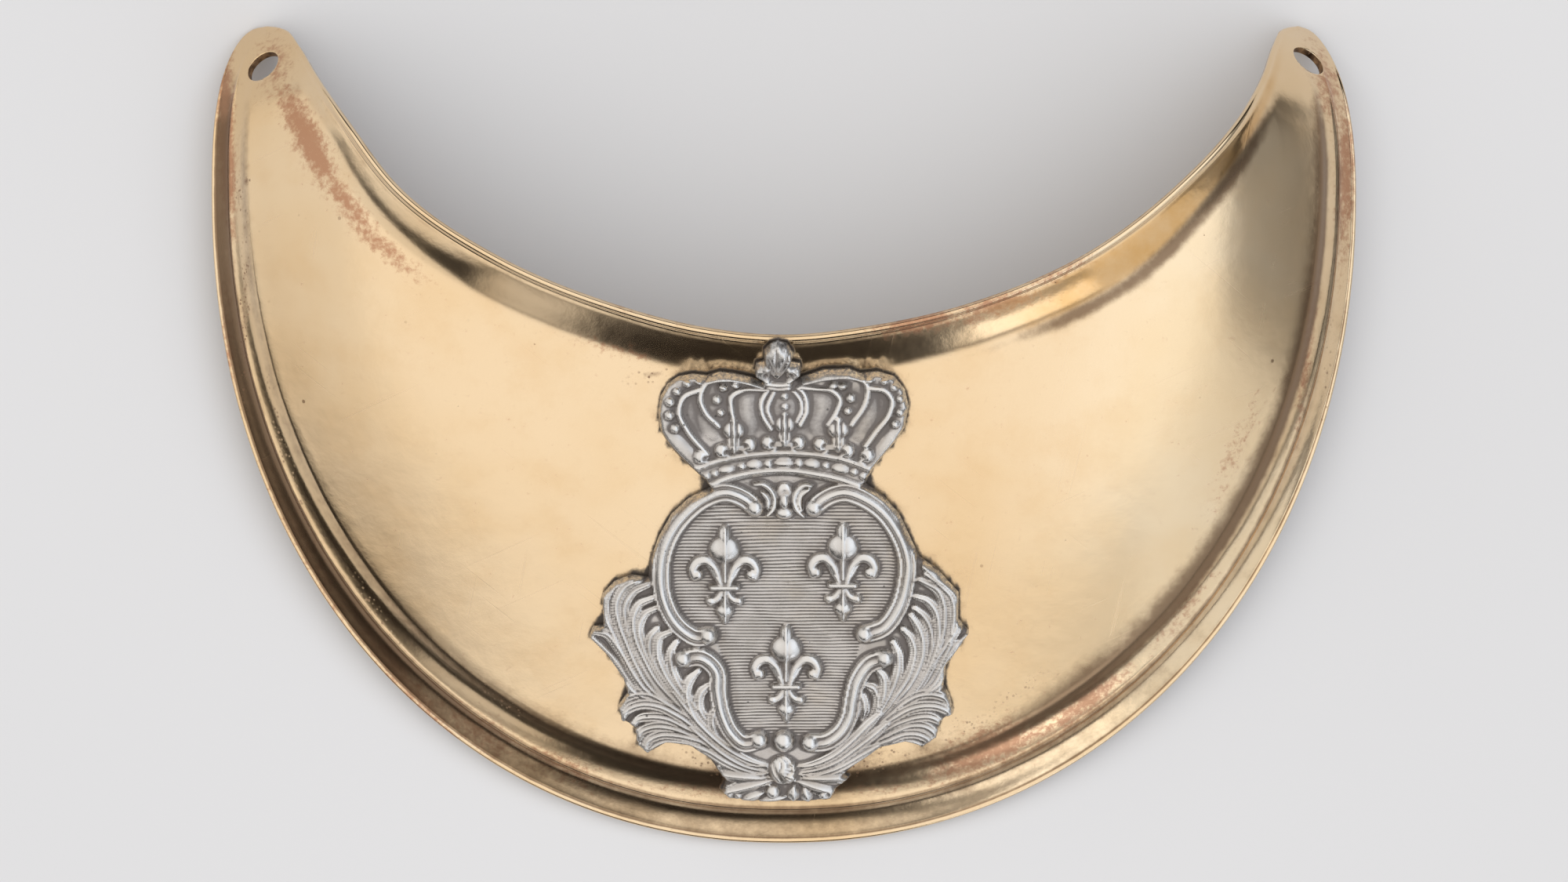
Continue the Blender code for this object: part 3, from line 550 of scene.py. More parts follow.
def gilt_brass():
    mat, g = new_material("gilt_brass")
    at = g.place()
    copper, stain, tarnish_and_shade, badge_dirt_and_shadow, neck, edge, flange_reflection = (
        g.attribute(name) for name in ("copper", "stain", "tarnish_and_shade", "badge_dirt_and_shadow", "neck", "edge", "flange_reflection"))
    broad, cloudy, fine = g.noise(at, 38.0, 3), g.noise(at, 160.0, 5, 0.62), g.noise(at, 1500.0, 4, 0.6)
    mottle, flecks = g.noise(at, 620.0, 6, 0.68), g.noise(at, 1300.0, 5, 0.7)

    worn = g.plus(g.times(flecks, 1.1), g.times(g.plus(copper, mottle), 0.55))
    worn = g.between(worn, 0.95, 1.4)
    ragged = g.plus(g.times(g.minus(mottle, 0.5), 0.5), g.times(g.minus(cloudy, 0.5), 0.6))
    # tarnish with painted shade: dark bands on the border's slopes, at the flange's foot and round the badge
    tarnish_shade_mask = g.times(g.between(g.plus(tarnish_and_shade, ragged), 0.2, 0.95), 0.9)
    stained = g.between(g.plus(stain, g.times(cloudy, 0.5)), 0.42, 0.95)
    spotted = g.most(g.times(g.spots(at, 1500.0, 0.15, 0.20), stained),
                     g.between(g.plus(stain, g.times(fine, 0.7)), 0.85, 1.45))
    # dirt and painted shadow hugging the badge's edge, nearly black
    dirt_and_shadow = g.between(g.plus(badge_dirt_and_shadow, g.times(fine, 0.55)), 0.72, 1.2)
    lone = g.most(g.times(g.spots(at, 210.0, 0.035, 0.03), g.between(g.noise(at, 60.0, 2), 0.5, 0.62)),
                  g.times(g.spots(at, 640.0, 0.05, 0.05), g.between(mottle, 0.58, 0.68)))

    colour = g.mix(g.between(broad, 0.35, 0.68), (0.80, 0.612, 0.395), (0.77, 0.56, 0.33))
    colour = g.coat(colour, g.between(cloudy, 0.45, 0.75), 0.30, (0.73, 0.50, 0.27))
    colour = g.coat(colour, worn, 0.85, (0.45, 0.215, 0.12))
    # painted reflection: an orange band on the right half of the flange, where the table would be mirrored
    colour = g.coat(colour, flange_reflection, g.between(cloudy, 0.2, 0.8, 0.6, 1.0), (0.62, 0.33, 0.10))
    # the dark brown of the tarnish and the painted shade
    colour = g.mix(tarnish_shade_mask, colour, (0.19, 0.115, 0.065))
    colour = g.coat(colour, spotted, 0.8, (0.19, 0.09, 0.045))
    colour = g.coat(colour, dirt_and_shadow, 0.95, (0.045, 0.035, 0.03))
    colour = g.coat(colour, lone, 0.7, (0.16, 0.08, 0.04))

    scratch = scratches(g, at)
    rough = g.plus(g.between(neck, 1.5, 9.0, 0.12, 0.22), g.times(edge, -0.10))
    for share, strength in ((cloudy, 0.07), (g.most(worn, tarnish_shade_mask), 0.10), (g.most(spotted, dirt_and_shadow), 0.30),
                            (scratch, 0.06)):
        rough = g.plus(rough, g.times(share, strength))
    metal = g.minus(1.0, g.times(g.most(dirt_and_shadow, g.times(spotted, 0.5)), 0.85))
    normal = g.bump(g.noise(at, 90.0, 3, 0.5), 0.30, 0.0004)
    normal = g.bump(g.noise(at, 700.0, 3, 0.6), 0.10, 0.0001, normal)
    normal = g.bump(g.minus(fine, g.times(g.plus(scratch, spotted), 0.6)), 0.10, 0.00006, normal)
    g.surface(Base_Color=colour, Metallic=metal, Roughness=rough, Normal=normal)
    return mat


def hole_wall():
    mat, g = new_material("hole_wall")
    at = g.place()
    cloudy = g.noise(at, 900.0, 4, 0.6)
    colour = g.mix(g.between(cloudy, 0.35, 0.65), (0.10, 0.055, 0.03), (0.34, 0.20, 0.10))
    g.surface(Base_Color=colour, Metallic=0.9, Roughness=g.between(cloudy, 0.3, 0.7, 0.35, 0.6),
              Normal=g.bump(cloudy, 0.3, 0.0001))
    return mat


def add_object(name, data):
    obj = bpy.data.objects.new(name, data)
    bpy.context.scene.collection.objects.link(obj)
    return obj


def mesh_piece(name, points, faces, mat):
    mesh = bpy.data.meshes.new(name)
    mesh.from_pydata([tuple(p) for p in points], [], faces)
    mesh.shade_smooth()
    mesh.materials.append(mat)
    return add_object(name, mesh)


def face_outward(obj, weld=False):
    """Turn every face outward, after joining the points that meet where weld is set."""
    bm = bmesh.new()
    bm.from_mesh(obj.data)
    if weld:
        bmesh.ops.remove_doubles(bm, verts=bm.verts, dist=0.000004)
        bmesh.ops.dissolve_degenerate(bm, edges=bm.edges, dist=0.000002)
    bmesh.ops.recalc_face_normals(bm, faces=bm.faces)
    bm.to_mesh(obj.data)
    bm.free()


def keep(obj, name, values):
    obj.data.attributes.new(name, "FLOAT", "POINT").data.foreach_set("value", values.astype(np.float32))


def bake(obj):
    graph = bpy.context.evaluated_depsgraph_get()
    graph.update()
    mesh = bpy.data.meshes.new_from_object(obj.evaluated_get(graph))
    obj.modifiers.clear()
    obj.data = mesh


def cutter(name, radii, depth, place, mat, segments):
    """A round tool that is square to the sheet: radii and depths of its low and high end."""
    middle, facing = place
    bm = bmesh.new()
    bmesh.ops.create_cone(bm, cap_ends=True, segments=segments, radius1=radii[0] * MM, radius2=radii[1] * MM,
                          depth=(depth[1] - depth[0]) * MM,
                          matrix=Matrix.Translation((0, 0, (depth[0] + depth[1]) / 2 * MM)))
    for face in bm.faces:
        face.smooth = len(face.verts) == 4
    mesh = bpy.data.meshes.new(name)
    bm.to_mesh(mesh)
    bm.free()
    mesh.materials.append(mat)
    turn = Vector((0, 0, 1)).rotation_difference(facing).to_matrix().to_4x4()
    mesh.transform(Matrix.Translation(middle * MM) @ turn)
    return add_object(name, mesh)


def cut(obj, tools):
    for tool in tools:
        step = obj.modifiers.new(tool.name, "BOOLEAN")
        step.operation = "DIFFERENCE"
        step.solver = "EXACT"
        step.material_mode = "TRANSFER"
        step.object = tool
    bake(obj)
    for tool in tools:
        bpy.data.objects.remove(tool, do_unlink=True)


def foot_places(sheet):
    """Middle and direction of each clench foot on the sheet's face."""
    places = []
    for across, up in FOOT_SPOTS:
        x, y = badge_place(across, up)
        x, y = np.array([x]), np.array([y])
        z = sheet.height(x, y, seat=True)
        places.append((Vector((x[0], y[0], z[0])), Vector(sheet.facing(x, y, seat=True)[0])))
    return places


def plate_mesh(sheet):
    """The plate's points, its faces, and how many of the points are on its front."""
    plan = np.concatenate([(half_plan("left") * [-1, 1])[::-1], half_plan("right")[1:]])
    n_sections, n_rows = plan.shape[:2]
    x, y = plan.reshape(-1, 2).T
    share, gap = sheet.border_share(x, y), sheet.neck_distance(x, y)
    smooth = np.stack([x, y, sheet.height(x, y)], axis=1)
    normal = sheet.facing(x, y)
    up = border_relief(share, x, y) + neck_relief(gap, x, y)
    rim = np.minimum(share * border_width(x, y), gap)
    rounding = RIM_DROP * (1 - np.sqrt(np.clip(1 - (1 - np.clip(rim / RIM_ROUND[-1], 0, 1)) ** 2, 0, 1)))
    front = smooth + normal * (up - rounding)[:, None]
    back = smooth - normal * SHEET

    last, ends = n_rows - 1, len(RIM_ROUND)
    back_rows = [0, 2] + list(range(ends, n_rows - ends))[::BACK_STEP] + [last - 2, last]
    points = list(front)
    at = {}
    for s in range(n_sections):
        for r in back_rows:
            at[s, r] = len(points)
            lift = BACK_EDGE_LIFT if r in (0, last) else 0.0
            points.append(back[s * n_rows + r] + normal[s * n_rows + r] * lift)
    faces = []
    for s in range(n_sections - 1):
        here, there = s * n_rows, (s + 1) * n_rows
        faces += [(here + r, here + r + 1, there + r + 1, there + r) for r in range(last)]
        pairs = zip(back_rows[:-1], back_rows[1:])
        faces += [(at[s, r], at[s + 1, r], at[s + 1, q], at[s, q]) for r, q in pairs]
        faces.append((here, there, at[s + 1, 0], at[s, 0]))
        faces.append((at[s, last], at[s + 1, last], there + last, here + last))
    for s in (0, n_sections - 1):
        tip = [s * n_rows + r for r in range(n_rows)] + [at[s, r] for r in reversed(back_rows)]
        faces.append(tuple(tip if s else tip[::-1]))
    return np.array(points), faces, len(front)


def wear_and_painted_light(sheet, x, y, front):
    """What the brass needs to know at each point: its worn and stained spots, its tarnish, the painted shade,
    shadow and reflections laid over them, and how far the neck edge is.
    """
    points, ring = np.stack([x, y], axis=1), badge_ring()
    share, gap, along = sheet.border_share(x, y), sheet.neck_distance(x, y), station(x, y)
    from_badge = nearest_on(points, ring)[1]
    # dirt and painted shadow: full under the badge, falling off within half a millimetre of its edge
    badge_dirt_and_shadow = np.where(inside(points, ring), 1.0, np.exp(-(from_badge / 0.42) ** 1.2)) * front
    right = ease((x - 18.0) / 22.0) * tip_fade(x, y)
    into_field = gap - FLANGE_WIDTH * flange_size(x, y)
    side = np.where(x < 0, 1.0, -0.5) * ease((along - 0.15) / 0.4)
    tarnish_and_shade = read(TARNISH_AND_SHADE, share)
    tarnish_and_shade = tarnish_and_shade * (1 - 0.35 * ease((along - 0.3) / 0.3) * (share > 0.48) * (x < 0))
    # painted dark reflection along the field's edge on the right
    tarnish_and_shade = tarnish_and_shade + 0.5 * np.exp(-((share - 1.0) / 0.22) ** 2) * ease((x - 22.0) / 18.0) * (share < 2)
    # the border's outer cove painted darker on the left and lighter on the right, as the light falls
    tarnish_and_shade = tarnish_and_shade + np.where((share > 0.09) & (share < 0.45), 0.55 * side, 0.0)
    # painted dark reflection along the foot of the flange on the right
    tarnish_and_shade = tarnish_and_shade + 0.95 * right * np.exp(-((into_field + 0.5) / 1.1) ** 2)
    # painted shade in the groove under the neck lip, over its tarnish
    tarnish_and_shade = tarnish_and_shade + 0.4 * np.exp(-((gap - 1.1) / 0.3) ** 2)
    # painted shadow round the badge on the front; the unseen back is darker all over
    tarnish_and_shade = tarnish_and_shade + np.where(front, 0.42 * np.exp(-from_badge / 1.3), 0.55)
    return {
        "copper": 1.35 * patches(COPPER, x, y + plate_middle()),
        "stain": patches(STAINS, x, y + plate_middle()),
        "tarnish_and_shade": np.clip(tarnish_and_shade * tip_fade(x, y), 0, 1),
        "badge_dirt_and_shadow": np.clip(badge_dirt_and_shadow, 0, 1),
        "neck": gap,
        # painted orange reflection on the right of the flange
        "flange_reflection": 0.9 * right * ease((gap - 0.5) / 0.6) * (1 - ease((into_field + 1.6) / 0.9)) * front,
        "edge": 1 - ease((share - 0.9) / 0.5),
    }


def make_plate(sheet, gilt, wall):
    points, faces, n_front = plate_mesh(sheet)
    plate = mesh_piece("gorget_plate", points * MM, faces, gilt)
    face_outward(plate)
    values_at = wear_and_painted_light(sheet, points[:, 0], points[:, 1], np.arange(len(points)) < n_front)
    for name, values in values_at.items():
        keep(plate, name, values)
    plate.data.update()

    through = (-BORE_REACH, BORE_REACH)
    tools = []
    for place in sheet.lands:
        tools.append(cutter("bore", (HOLE / 2, HOLE / 2), through, place, wall, 64))
        tools.append(cutter("chamfer", (HOLE / 2 - 0.3, HOLE / 2 + 0.9), (-0.4, 0.8), place, gilt, 64))
    for place in foot_places(sheet):
        tools.append(cutter("foot_bore", (FOOT_RADIUS + FOOT_CLEAR,) * 2, through, place, wall, 24))
    cut(plate, tools)
    plate.data.set_sharp_from_angle(angle=math.radians(SHARP_ANGLE))
    return plate


# The badge's drawing: across from its centre line and up from its foot, 592 units high

CROWN_RIMS = [
    [(-97, 452), (-122, 482), (-132, 505), (-126, 523), (-107, 532)],
    [(-82, 487), (-98, 503), (-105, 523), (-97, 541), (-75, 551), (-48, 548), (-26, 540)],
    [(-62, 491), (-66, 509), (-66, 523), (-53, 532), (-21, 534)],
    [(-16, 484), (-27, 503), (-28, 516), (-19, 534)],
    [(-13, 491), (-20, 509), (-12, 530)],
    [(22, 489), (30, 505), (29, 523), (20, 537)],
    [(17, 493), (24, 507), (22, 520), (14, 531)],
    [(22, 539), (42, 535), (65, 530), (73, 521), (69, 505), (58, 489)],
    [(26, 547), (51, 553), (79, 555), (99, 548), (108, 534), (106, 518), (88, 489)],
    [(112, 534), (131, 530), (139, 518), (136, 503), (119, 480), (106, 462)],
]
CROWN_EDGES = [
    [(-108, 440), (-130, 462), (-146, 482), (-150, 505), (-142, 528), (-125, 541), (-105, 546)],
    [(114, 547), (134, 541), (149, 526), (152, 505), (144, 480), (128, 456), (114, 440)],
]
CIRCLET = [
    [(-110, 434), (-84, 443), (-48, 450), (-16, 453), (17, 453), (51, 450), (81, 444), (111, 433)],
    [(-94, 411), (-78, 419), (-48, 427), (-16, 431), (11, 431), (40, 427), (70, 421), (97, 412)],
]
PEARLS = [
    (-106, 543, 5), (-121, 540, 6), (-134, 530, 6), (-143, 517, 7), (-144, 500, 7), (-137, 484, 7),
    (-60, 541, 6), (-76, 536, 7), (-84, 520, 7), (-79, 504, 6), (2, 525, 6), (2, 512, 6),
    (64, 540, 7), (76, 538, 7), (87, 522, 7), (83, 506, 6), (110, 546, 6), (129, 543, 6),
    (141, 535, 6), (149, 521, 6), (149, 504, 6), (143, 489, 6),
]
JEWELS = [
    (-97, 424, 5, 5), (-87, 427, 5, 5), (-72, 432, 11, 6), (-53, 436, 5, 5), (-37, 438, 11, 7),
    (-19, 439, 6, 6), (1, 440, 13, 8), (20, 440, 6, 6), (37, 439, 11, 7), (55, 437, 5, 5), (74, 433, 12, 7),
    (91, 429, 5, 5), (103, 424, 5, 5),
]
CURLS = [
    (-105, 448, 1), (-78, 456, 1), (-43, 464, -1), (-19, 466, 1), (20, 466, -1), (48, 464, 1), (83, 456, -1),
    (108, 450, -1),
]
KNOPS = [(-63, 479), (2, 487), (71, 480)]
SCROLLS = [
    {"line": [(-36, 384), (-50, 395), (-74, 403), (-100, 395), (-120, 380), (-138, 359), (-150, 335),
              (-156, 305), (-152, 267), (-140, 241), (-126, 226), (-111, 218), (-96, 220)], "out": 1},
    {"line": [(40, 384), (54, 395), (78, 403), (104, 395), (126, 380), (144, 357), (155, 333),
              (159, 313), (157, 289), (147, 255), (128, 230), (105, 222)], "out": -1},
    {"line": [(-128, 190), (-106, 192), (-86, 175), (-84, 148), (-77, 115), (-66, 93), (-51, 80), (-31, 84)],
     "out": 1},
    {"line": [(131, 191), (113, 185), (96, 163), (89, 137), (85, 115), (74, 95), (56, 82), (35, 80)],
     "out": -1},
]
SHELL = [
    [(-37, 414), (-26, 414), (-16, 407), (-11, 396), (-13, 383), (-21, 374)],
    [(-27, 404), (-20, 396), (-20, 383)],
    [(37, 412), (28, 413), (18, 405), (14, 394), (17, 383), (27, 373)],
    [(34, 408), (23, 400), (21, 391), (24, 381)],
]
LEFT, RIGHT, LOW_LEFT, LOW_RIGHT = (row["line"] for row in SCROLLS)
SHIELD = (LEFT[:-1] + [(-84, 205), (-80, 175)] + LOW_LEFT[3:] + [(0, 92)] + LOW_RIGHT[:2:-1]
          + [(92, 163), (96, 200)] + RIGHT[::-1] + [(0, 366)])
FLEURS = [(-75, 282), (77, 285), (4, 154)]

# Ridges of the sprays, from root to tip, in steps right and down from each spray's upper left corner
LEFT_SPRAY = [
    [(700, 1100), (450, 900), (330, 780), (260, 650), (200, 520), (150, 400), (150, 300), (200, 225),
     (260, 195)],
    [(700, 1090), (480, 900), (400, 820), (330, 700), (270, 560), (230, 450), (215, 330), (260, 240),
     (350, 192)],
    [(760, 1140), (560, 970), (450, 850), (370, 720), (300, 580), (270, 450), (262, 350), (310, 268),
     (400, 222)],
    [(760, 1110), (540, 900), (440, 780), (370, 650), (320, 520), (312, 420), (350, 335), (425, 300)],
    [(720, 1060), (600, 950), (500, 830), (420, 700), (362, 570), (345, 470), (380, 395), (440, 362)],
    [(760, 1080), (620, 940), (520, 820), (440, 700), (402, 600), (412, 525), (450, 480)],
    [(780, 1090), (660, 970), (570, 860), (490, 740), (450, 620), (465, 530), (520, 500)],
    [(860, 1130), (740, 1020), (640, 900), (570, 800), (530, 700), (530, 610), (560, 560)],
    [(600, 1020), (450, 900), (370, 830), (300, 720), (230, 600), (150, 505), (72, 497)],
    [(520, 980), (400, 900), (310, 850), (260, 790), (200, 690), (115, 595), (66, 535)],
    [(800, 1130), (650, 1020), (500, 920), (400, 868), (310, 868), (250, 905), (226, 955)],
    [(820, 1160), (700, 1090), (560, 990), (450, 937), (350, 928), (272, 962), (238, 1022)],
    [(830, 1180), (720, 1130), (600, 1060), (500, 1012), (400, 1002), (342, 1012), (312, 1045)],
    [(850, 1200), (750, 1180), (640, 1112), (520, 1068), (420, 1062), (352, 1092), (326, 1150), (345, 1195)],
    [(860, 1210), (800, 1198), (680, 1142), (560, 1112), (455, 1112), (394, 1145), (368, 1208)],
    [(900, 1260), (800, 1236), (680, 1180), (560, 1150), (470, 1155), (412, 1190), (388, 1222)],
    [(1085, 1300), (980, 1265), (880, 1210), (780, 1130), (690, 1040), (600, 930), (540, 850)],
    [(1080, 1335), (960, 1300), (840, 1230), (740, 1150), (640, 1060)],
    [(1060, 1360), (950, 1320), (830, 1262), (740, 1205), (640, 1165)],
    [(790, 1130), (700, 1050), (640, 950), (618, 860), (640, 780), (684, 732)],
    [(790, 1090), (720, 1010), (690, 930), (702, 860), (742, 816)],
    [(820, 1130), (772, 1060), (770, 1000), (790, 950)],
]
RIGHT_SPRAY = [
    [(700, 960), (820, 850), (890, 760), (940, 640), (970, 530), (985, 430), (980, 340), (950, 260),
     (840, 192)],
    [(660, 980), (790, 870), (870, 760), (920, 650), (950, 540), (950, 450), (930, 370), (880, 312),
     (820, 290)],
    [(640, 990), (760, 890), (840, 780), (890, 670), (913, 560), (900, 470), (862, 402), (812, 360)],
    [(600, 1000), (690, 920), (770, 830), (830, 720), (860, 620), (858, 540), (830, 462), (790, 402)],
    [(540, 1070), (620, 990), (700, 880), (760, 790), (800, 690), (813, 600), (790, 532), (746, 484)],
    [(520, 1080), (600, 980), (660, 880), (700, 790), (720, 700), (714, 620), (690, 562)],
    [(760, 930), (900, 850), (960, 800), (990, 740), (1030, 640), (1085, 565), (1128, 522)],
    [(740, 930), (870, 860), (930, 800), (970, 720), (1010, 630), (1060, 560)],
    [(730, 920), (870, 830), (930, 750), (980, 650), (1018, 560), (1030, 470), (1040, 380), (1020, 290),
     (960, 225), (880, 160)],
    [(700, 980), (1000, 560), (1050, 480), (1062, 400), (1060, 320), (1020, 250), (940, 190), (870, 120)],
    [(560, 1080), (680, 980), (760, 912), (840, 872), (930, 867), (990, 890), (1014, 930)],
    [(560, 1110), (700, 1002), (790, 950), (880, 932), (960, 942), (1010, 970), (1034, 1004)],
    [(560, 1140), (740, 1030), (830, 1002), (910, 1002), (960, 1030), (976, 1050)],
    [(560, 1160), (700, 1090), (800, 1052), (880, 1060), (930, 1100), (940, 1150)],
    [(540, 1190), (660, 1142), (760, 1102), (840, 1105), (900, 1140), (916, 1174)],
    [(520, 1220), (650, 1180), (740, 1148), (820, 1152), (872, 1184)],
    [(110, 1310), (220, 1290), (330, 1240), (430, 1160), (520, 1070), (610, 980)],
    [(110, 1345), (240, 1320), (360, 1270), (470, 1190), (560, 1120), (650, 1040)],
    [(120, 1380), (250, 1350), (380, 1300), (500, 1230), (600, 1170)],
    [(580, 1010), (620, 920), (640, 830), (630, 762), (600, 722)],
    [(540, 1050), (590, 970), (600, 890), (575, 832), (530, 812)],
    [(510, 1020), (522, 930), (502, 862)],
]
FOOT_LEAVES = [
    ((-79, 13), (-17, 30), 10), ((-83, 38), (-25, 33), 10), ((68, 13), (17, 30), 10),
    ((86, 34), (25, 33), 10), ((-53, 4), (-24, 15), 8), ((13, 3), (14, 24), 8), ((33, 2), (27, 22), 8),
    ((-30, 3), (4, 9), 6),
]
SPRAY_STEP = 0.22
SPRAY_REACH = 8.4
LEFT_CORNER, RIGHT_CORNER = (-260, 335), (-10, 335)
HATCH_PITCH = 4.6                      # between the shield's lines at HATCH_LEVEL
HATCH_LEVEL, HATCH_SPREAD = 370.0, 0.00035
HATCH_DEPTH = 0.27                     # in millimetres
ACROSS_STEP, UP_STEP = 1.95, 1.05      # grid of the relief, in drawing units
GRID_MARGIN = 4
BACK_GRID, BACK_CLEAR = 18.0, 6.0      # grid of the flat back, and how far it keeps from the edge
EDGE_HEIGHT, EDGE_ROUND = 0.45, 0.5    # the badge's thickness at its edge and its rounding, in millimetres


class Relief:
    """Raised work on the badge's drawing, kept as heights in millimetres over its back."""

    def __init__(self, x, y):
        self.x, self.y = x, y
        self.z = np.full(len(x), PLAQUE)

    def near(self, low, high, reach):
        return np.flatnonzero((self.x > low[0] - reach) & (self.x < high[0] + reach)
                              & (self.y > low[1] - reach) & (self.y < high[1] + reach))

    def follow(self, points, reach, steps=6):
        """Points near a smooth line: which, how far to its left, and how far along it."""
        line = smooth_line(points, steps * len(points))
        i = self.near(line.min(axis=0), line.max(axis=0), reach)
        pts = np.stack([self.x[i], self.y[i]], axis=1)
        best, off, along = np.full(len(i), 1e9), np.zeros(len(i)), np.zeros(len(i))
        gone = 0.0
        for start, end in zip(line[:-1], line[1:]):
            run = end - start
            length = math.hypot(*run)
            t = np.clip(((pts - start) @ run) / max(length**2, 1e-9), 0, 1)
            gap = pts - start - t[:, None] * run
            far = np.hypot(gap[:, 0], gap[:, 1])
            side = np.sign(run[0] * gap[:, 1] - run[1] * gap[:, 0])
            closer = far < best
            best[closer], off[closer] = far[closer], (side * far)[closer]
            along[closer] = (gone + t * length)[closer]
            gone += length
        inside_reach = best < reach
        return i[inside_reach], off[inside_reach], along[inside_reach], gone

    def raise_to(self, i, z):
        self.z[i] = np.maximum(self.z[i], z)

    def sink(self, i, depth):
        self.z[i] -= depth

    def band(self, points, half, height, ground=PLAQUE, start=1.0, end=1.0, power=0.5):
        """A rounded band along a line; start and end are its widths there as shares."""
        i, off, along, length = self.follow(points, half * max(1.0, start, end))
        share = along / length
        from_start = start + (1 - start) * np.minimum(1, share * 4)
        from_end = end + (1 - end) * np.minimum(1, (1 - share) * 4)
        wide = half * from_start * from_end
        u = np.clip(np.abs(off) / wide, 0, 1)
        self.raise_to(i, np.where(u < 1, ground + height * (1 - u * u) ** power, -1))

    def groove(self, points, half, depth):
        i, off, _, _ = self.follow(points, half * 2)
        self.sink(i, depth * np.exp(-((off / half) ** 2)))

    def bead(self, across, up, rx, ry, height, turn=0.0, ground=PLAQUE, power=0.5):
        i = self.near((across, up), (across, up), max(rx, ry))
        c, s = math.cos(turn), math.sin(turn)
        dx, dy = self.x[i] - across, self.y[i] - up
        r2 = ((dx * c + dy * s) / rx) ** 2 + ((dy * c - dx * s) / ry) ** 2
        inside_bead = r2 < 1
        self.raise_to(i[inside_bead], ground + height * (1 - r2[inside_bead]) ** power)

    def pit(self, across, up, reach, depth):
        i = self.near((across, up), (across, up), reach * 2)
        r2 = ((self.x[i] - across) ** 2 + (self.y[i] - up) ** 2) / reach**2
        self.sink(i, depth * np.exp(-r2))

    def petal(self, tip, base, half, height, ground=PLAQUE, crest=0.0, power=0.6):
        """A pointed form that is widest near the middle, with a ridge down it."""
        tip, base = np.array(tip, float), np.array(base, float)
        run = base - tip
        length = math.hypot(*run)
        way = run / length
        i = self.near(np.minimum(tip, base), np.maximum(tip, base), half)
        dx, dy = self.x[i] - tip[0], self.y[i] - tip[1]
        along = (dx * way[0] + dy * way[1]) / length
        off = np.abs(dx * way[1] - dy * way[0])
        wide = half * np.sin(np.pi * np.clip(along, 0, 1) ** 0.75) ** 0.8 + 0.8
        u = off / wide
        ok = (along > 0) & (along < 1) & (u < 1)
        z = ground + height * (1 - u * u) ** power * (0.55 + 0.45 * np.sin(np.pi * np.clip(along, 0, 1)))
        z = z + crest * np.exp(-(off / 2.2) ** 2)
        self.raise_to(i[ok], z[ok])


def fleur(relief, across, up):
    """A fleur-de-lis round the middle of its band."""
    def at(dx, dy):
        return across + dx, up + dy

    ground = PLAQUE + 0.05
    for side in (-1, 1):
        relief.band([at(side * 5, 3), at(side * 8, 12), at(side * 14, 25), at(side * 24, 34),
                     at(side * 34, 32), at(side * 40, 23), at(side * 38, 14)],
                    7.2, 0.66, ground, start=0.6, end=0.9)
        relief.groove([at(side * 11, 14), at(side * 17, 24), at(side * 26, 28), at(side * 33, 23)], 1.5, 0.14)
        relief.bead(*at(side * 34, 16), 7, 7, 0.78, ground=ground)
        relief.band([at(side * 3, -5), at(side * 9, -15), at(side * 18, -20)], 5, 0.5, ground, start=0.8)
        relief.bead(*at(side * 18, -18), 6, 5.5, 0.62, ground=ground)
    relief.band([at(0, 32), at(0, 6)], 6.5, 0.55, ground)
    relief.petal(at(0, 79), at(0, 44), 8, 0.7, ground)
    relief.bead(*at(0, 47), 20.5, 18.5, 0.92, ground=ground, power=0.6)
    relief.band([at(0, 76), at(0, 40), at(0, 8)], 1.9, 1.06, ground, start=0.4)
    relief.petal(at(0, -48), at(0, -4), 7, 0.5, ground, 0.12)
    relief.bead(*at(0, -31), 11.5, 9.5, 0.66, ground=ground, power=0.7)
    relief.band([at(0, -2), at(0, -46)], 1.7, 0.8, ground, end=0.4)
    relief.band([at(-16, 0), at(16, 0)], 4.2, 0.92, ground)


def cap(relief):
    """The crown's cap, with its arches and pearls."""
    relief.bead(0, 486, 172, 76, 0.42, power=0.7)
    for across, wide in ((-88, 26), (-46, 24), (48, 26), (98, 26)):
        relief.bead(across, 502, wide, 44, 0.5, ground=PLAQUE + 0.1, power=0.8)
    relief.bead(2, 510, 24, 36, 0.62, ground=PLAQUE + 0.16, power=0.6)
    for line in CROWN_EDGES:
        relief.band(line, 9.5, 0.5, PLAQUE + 0.08, power=0.35)
        relief.band(line, 11.5, 0.34, PLAQUE + 0.08, power=0.3)
    for line in CROWN_RIMS:
        relief.band(line, 4.2, 0.52, PLAQUE + 0.34)
    for across, up, radius in PEARLS:
        relief.bead(across, up, radius, radius, 0.05 * radius + 0.42, ground=PLAQUE + 0.34, power=0.6)


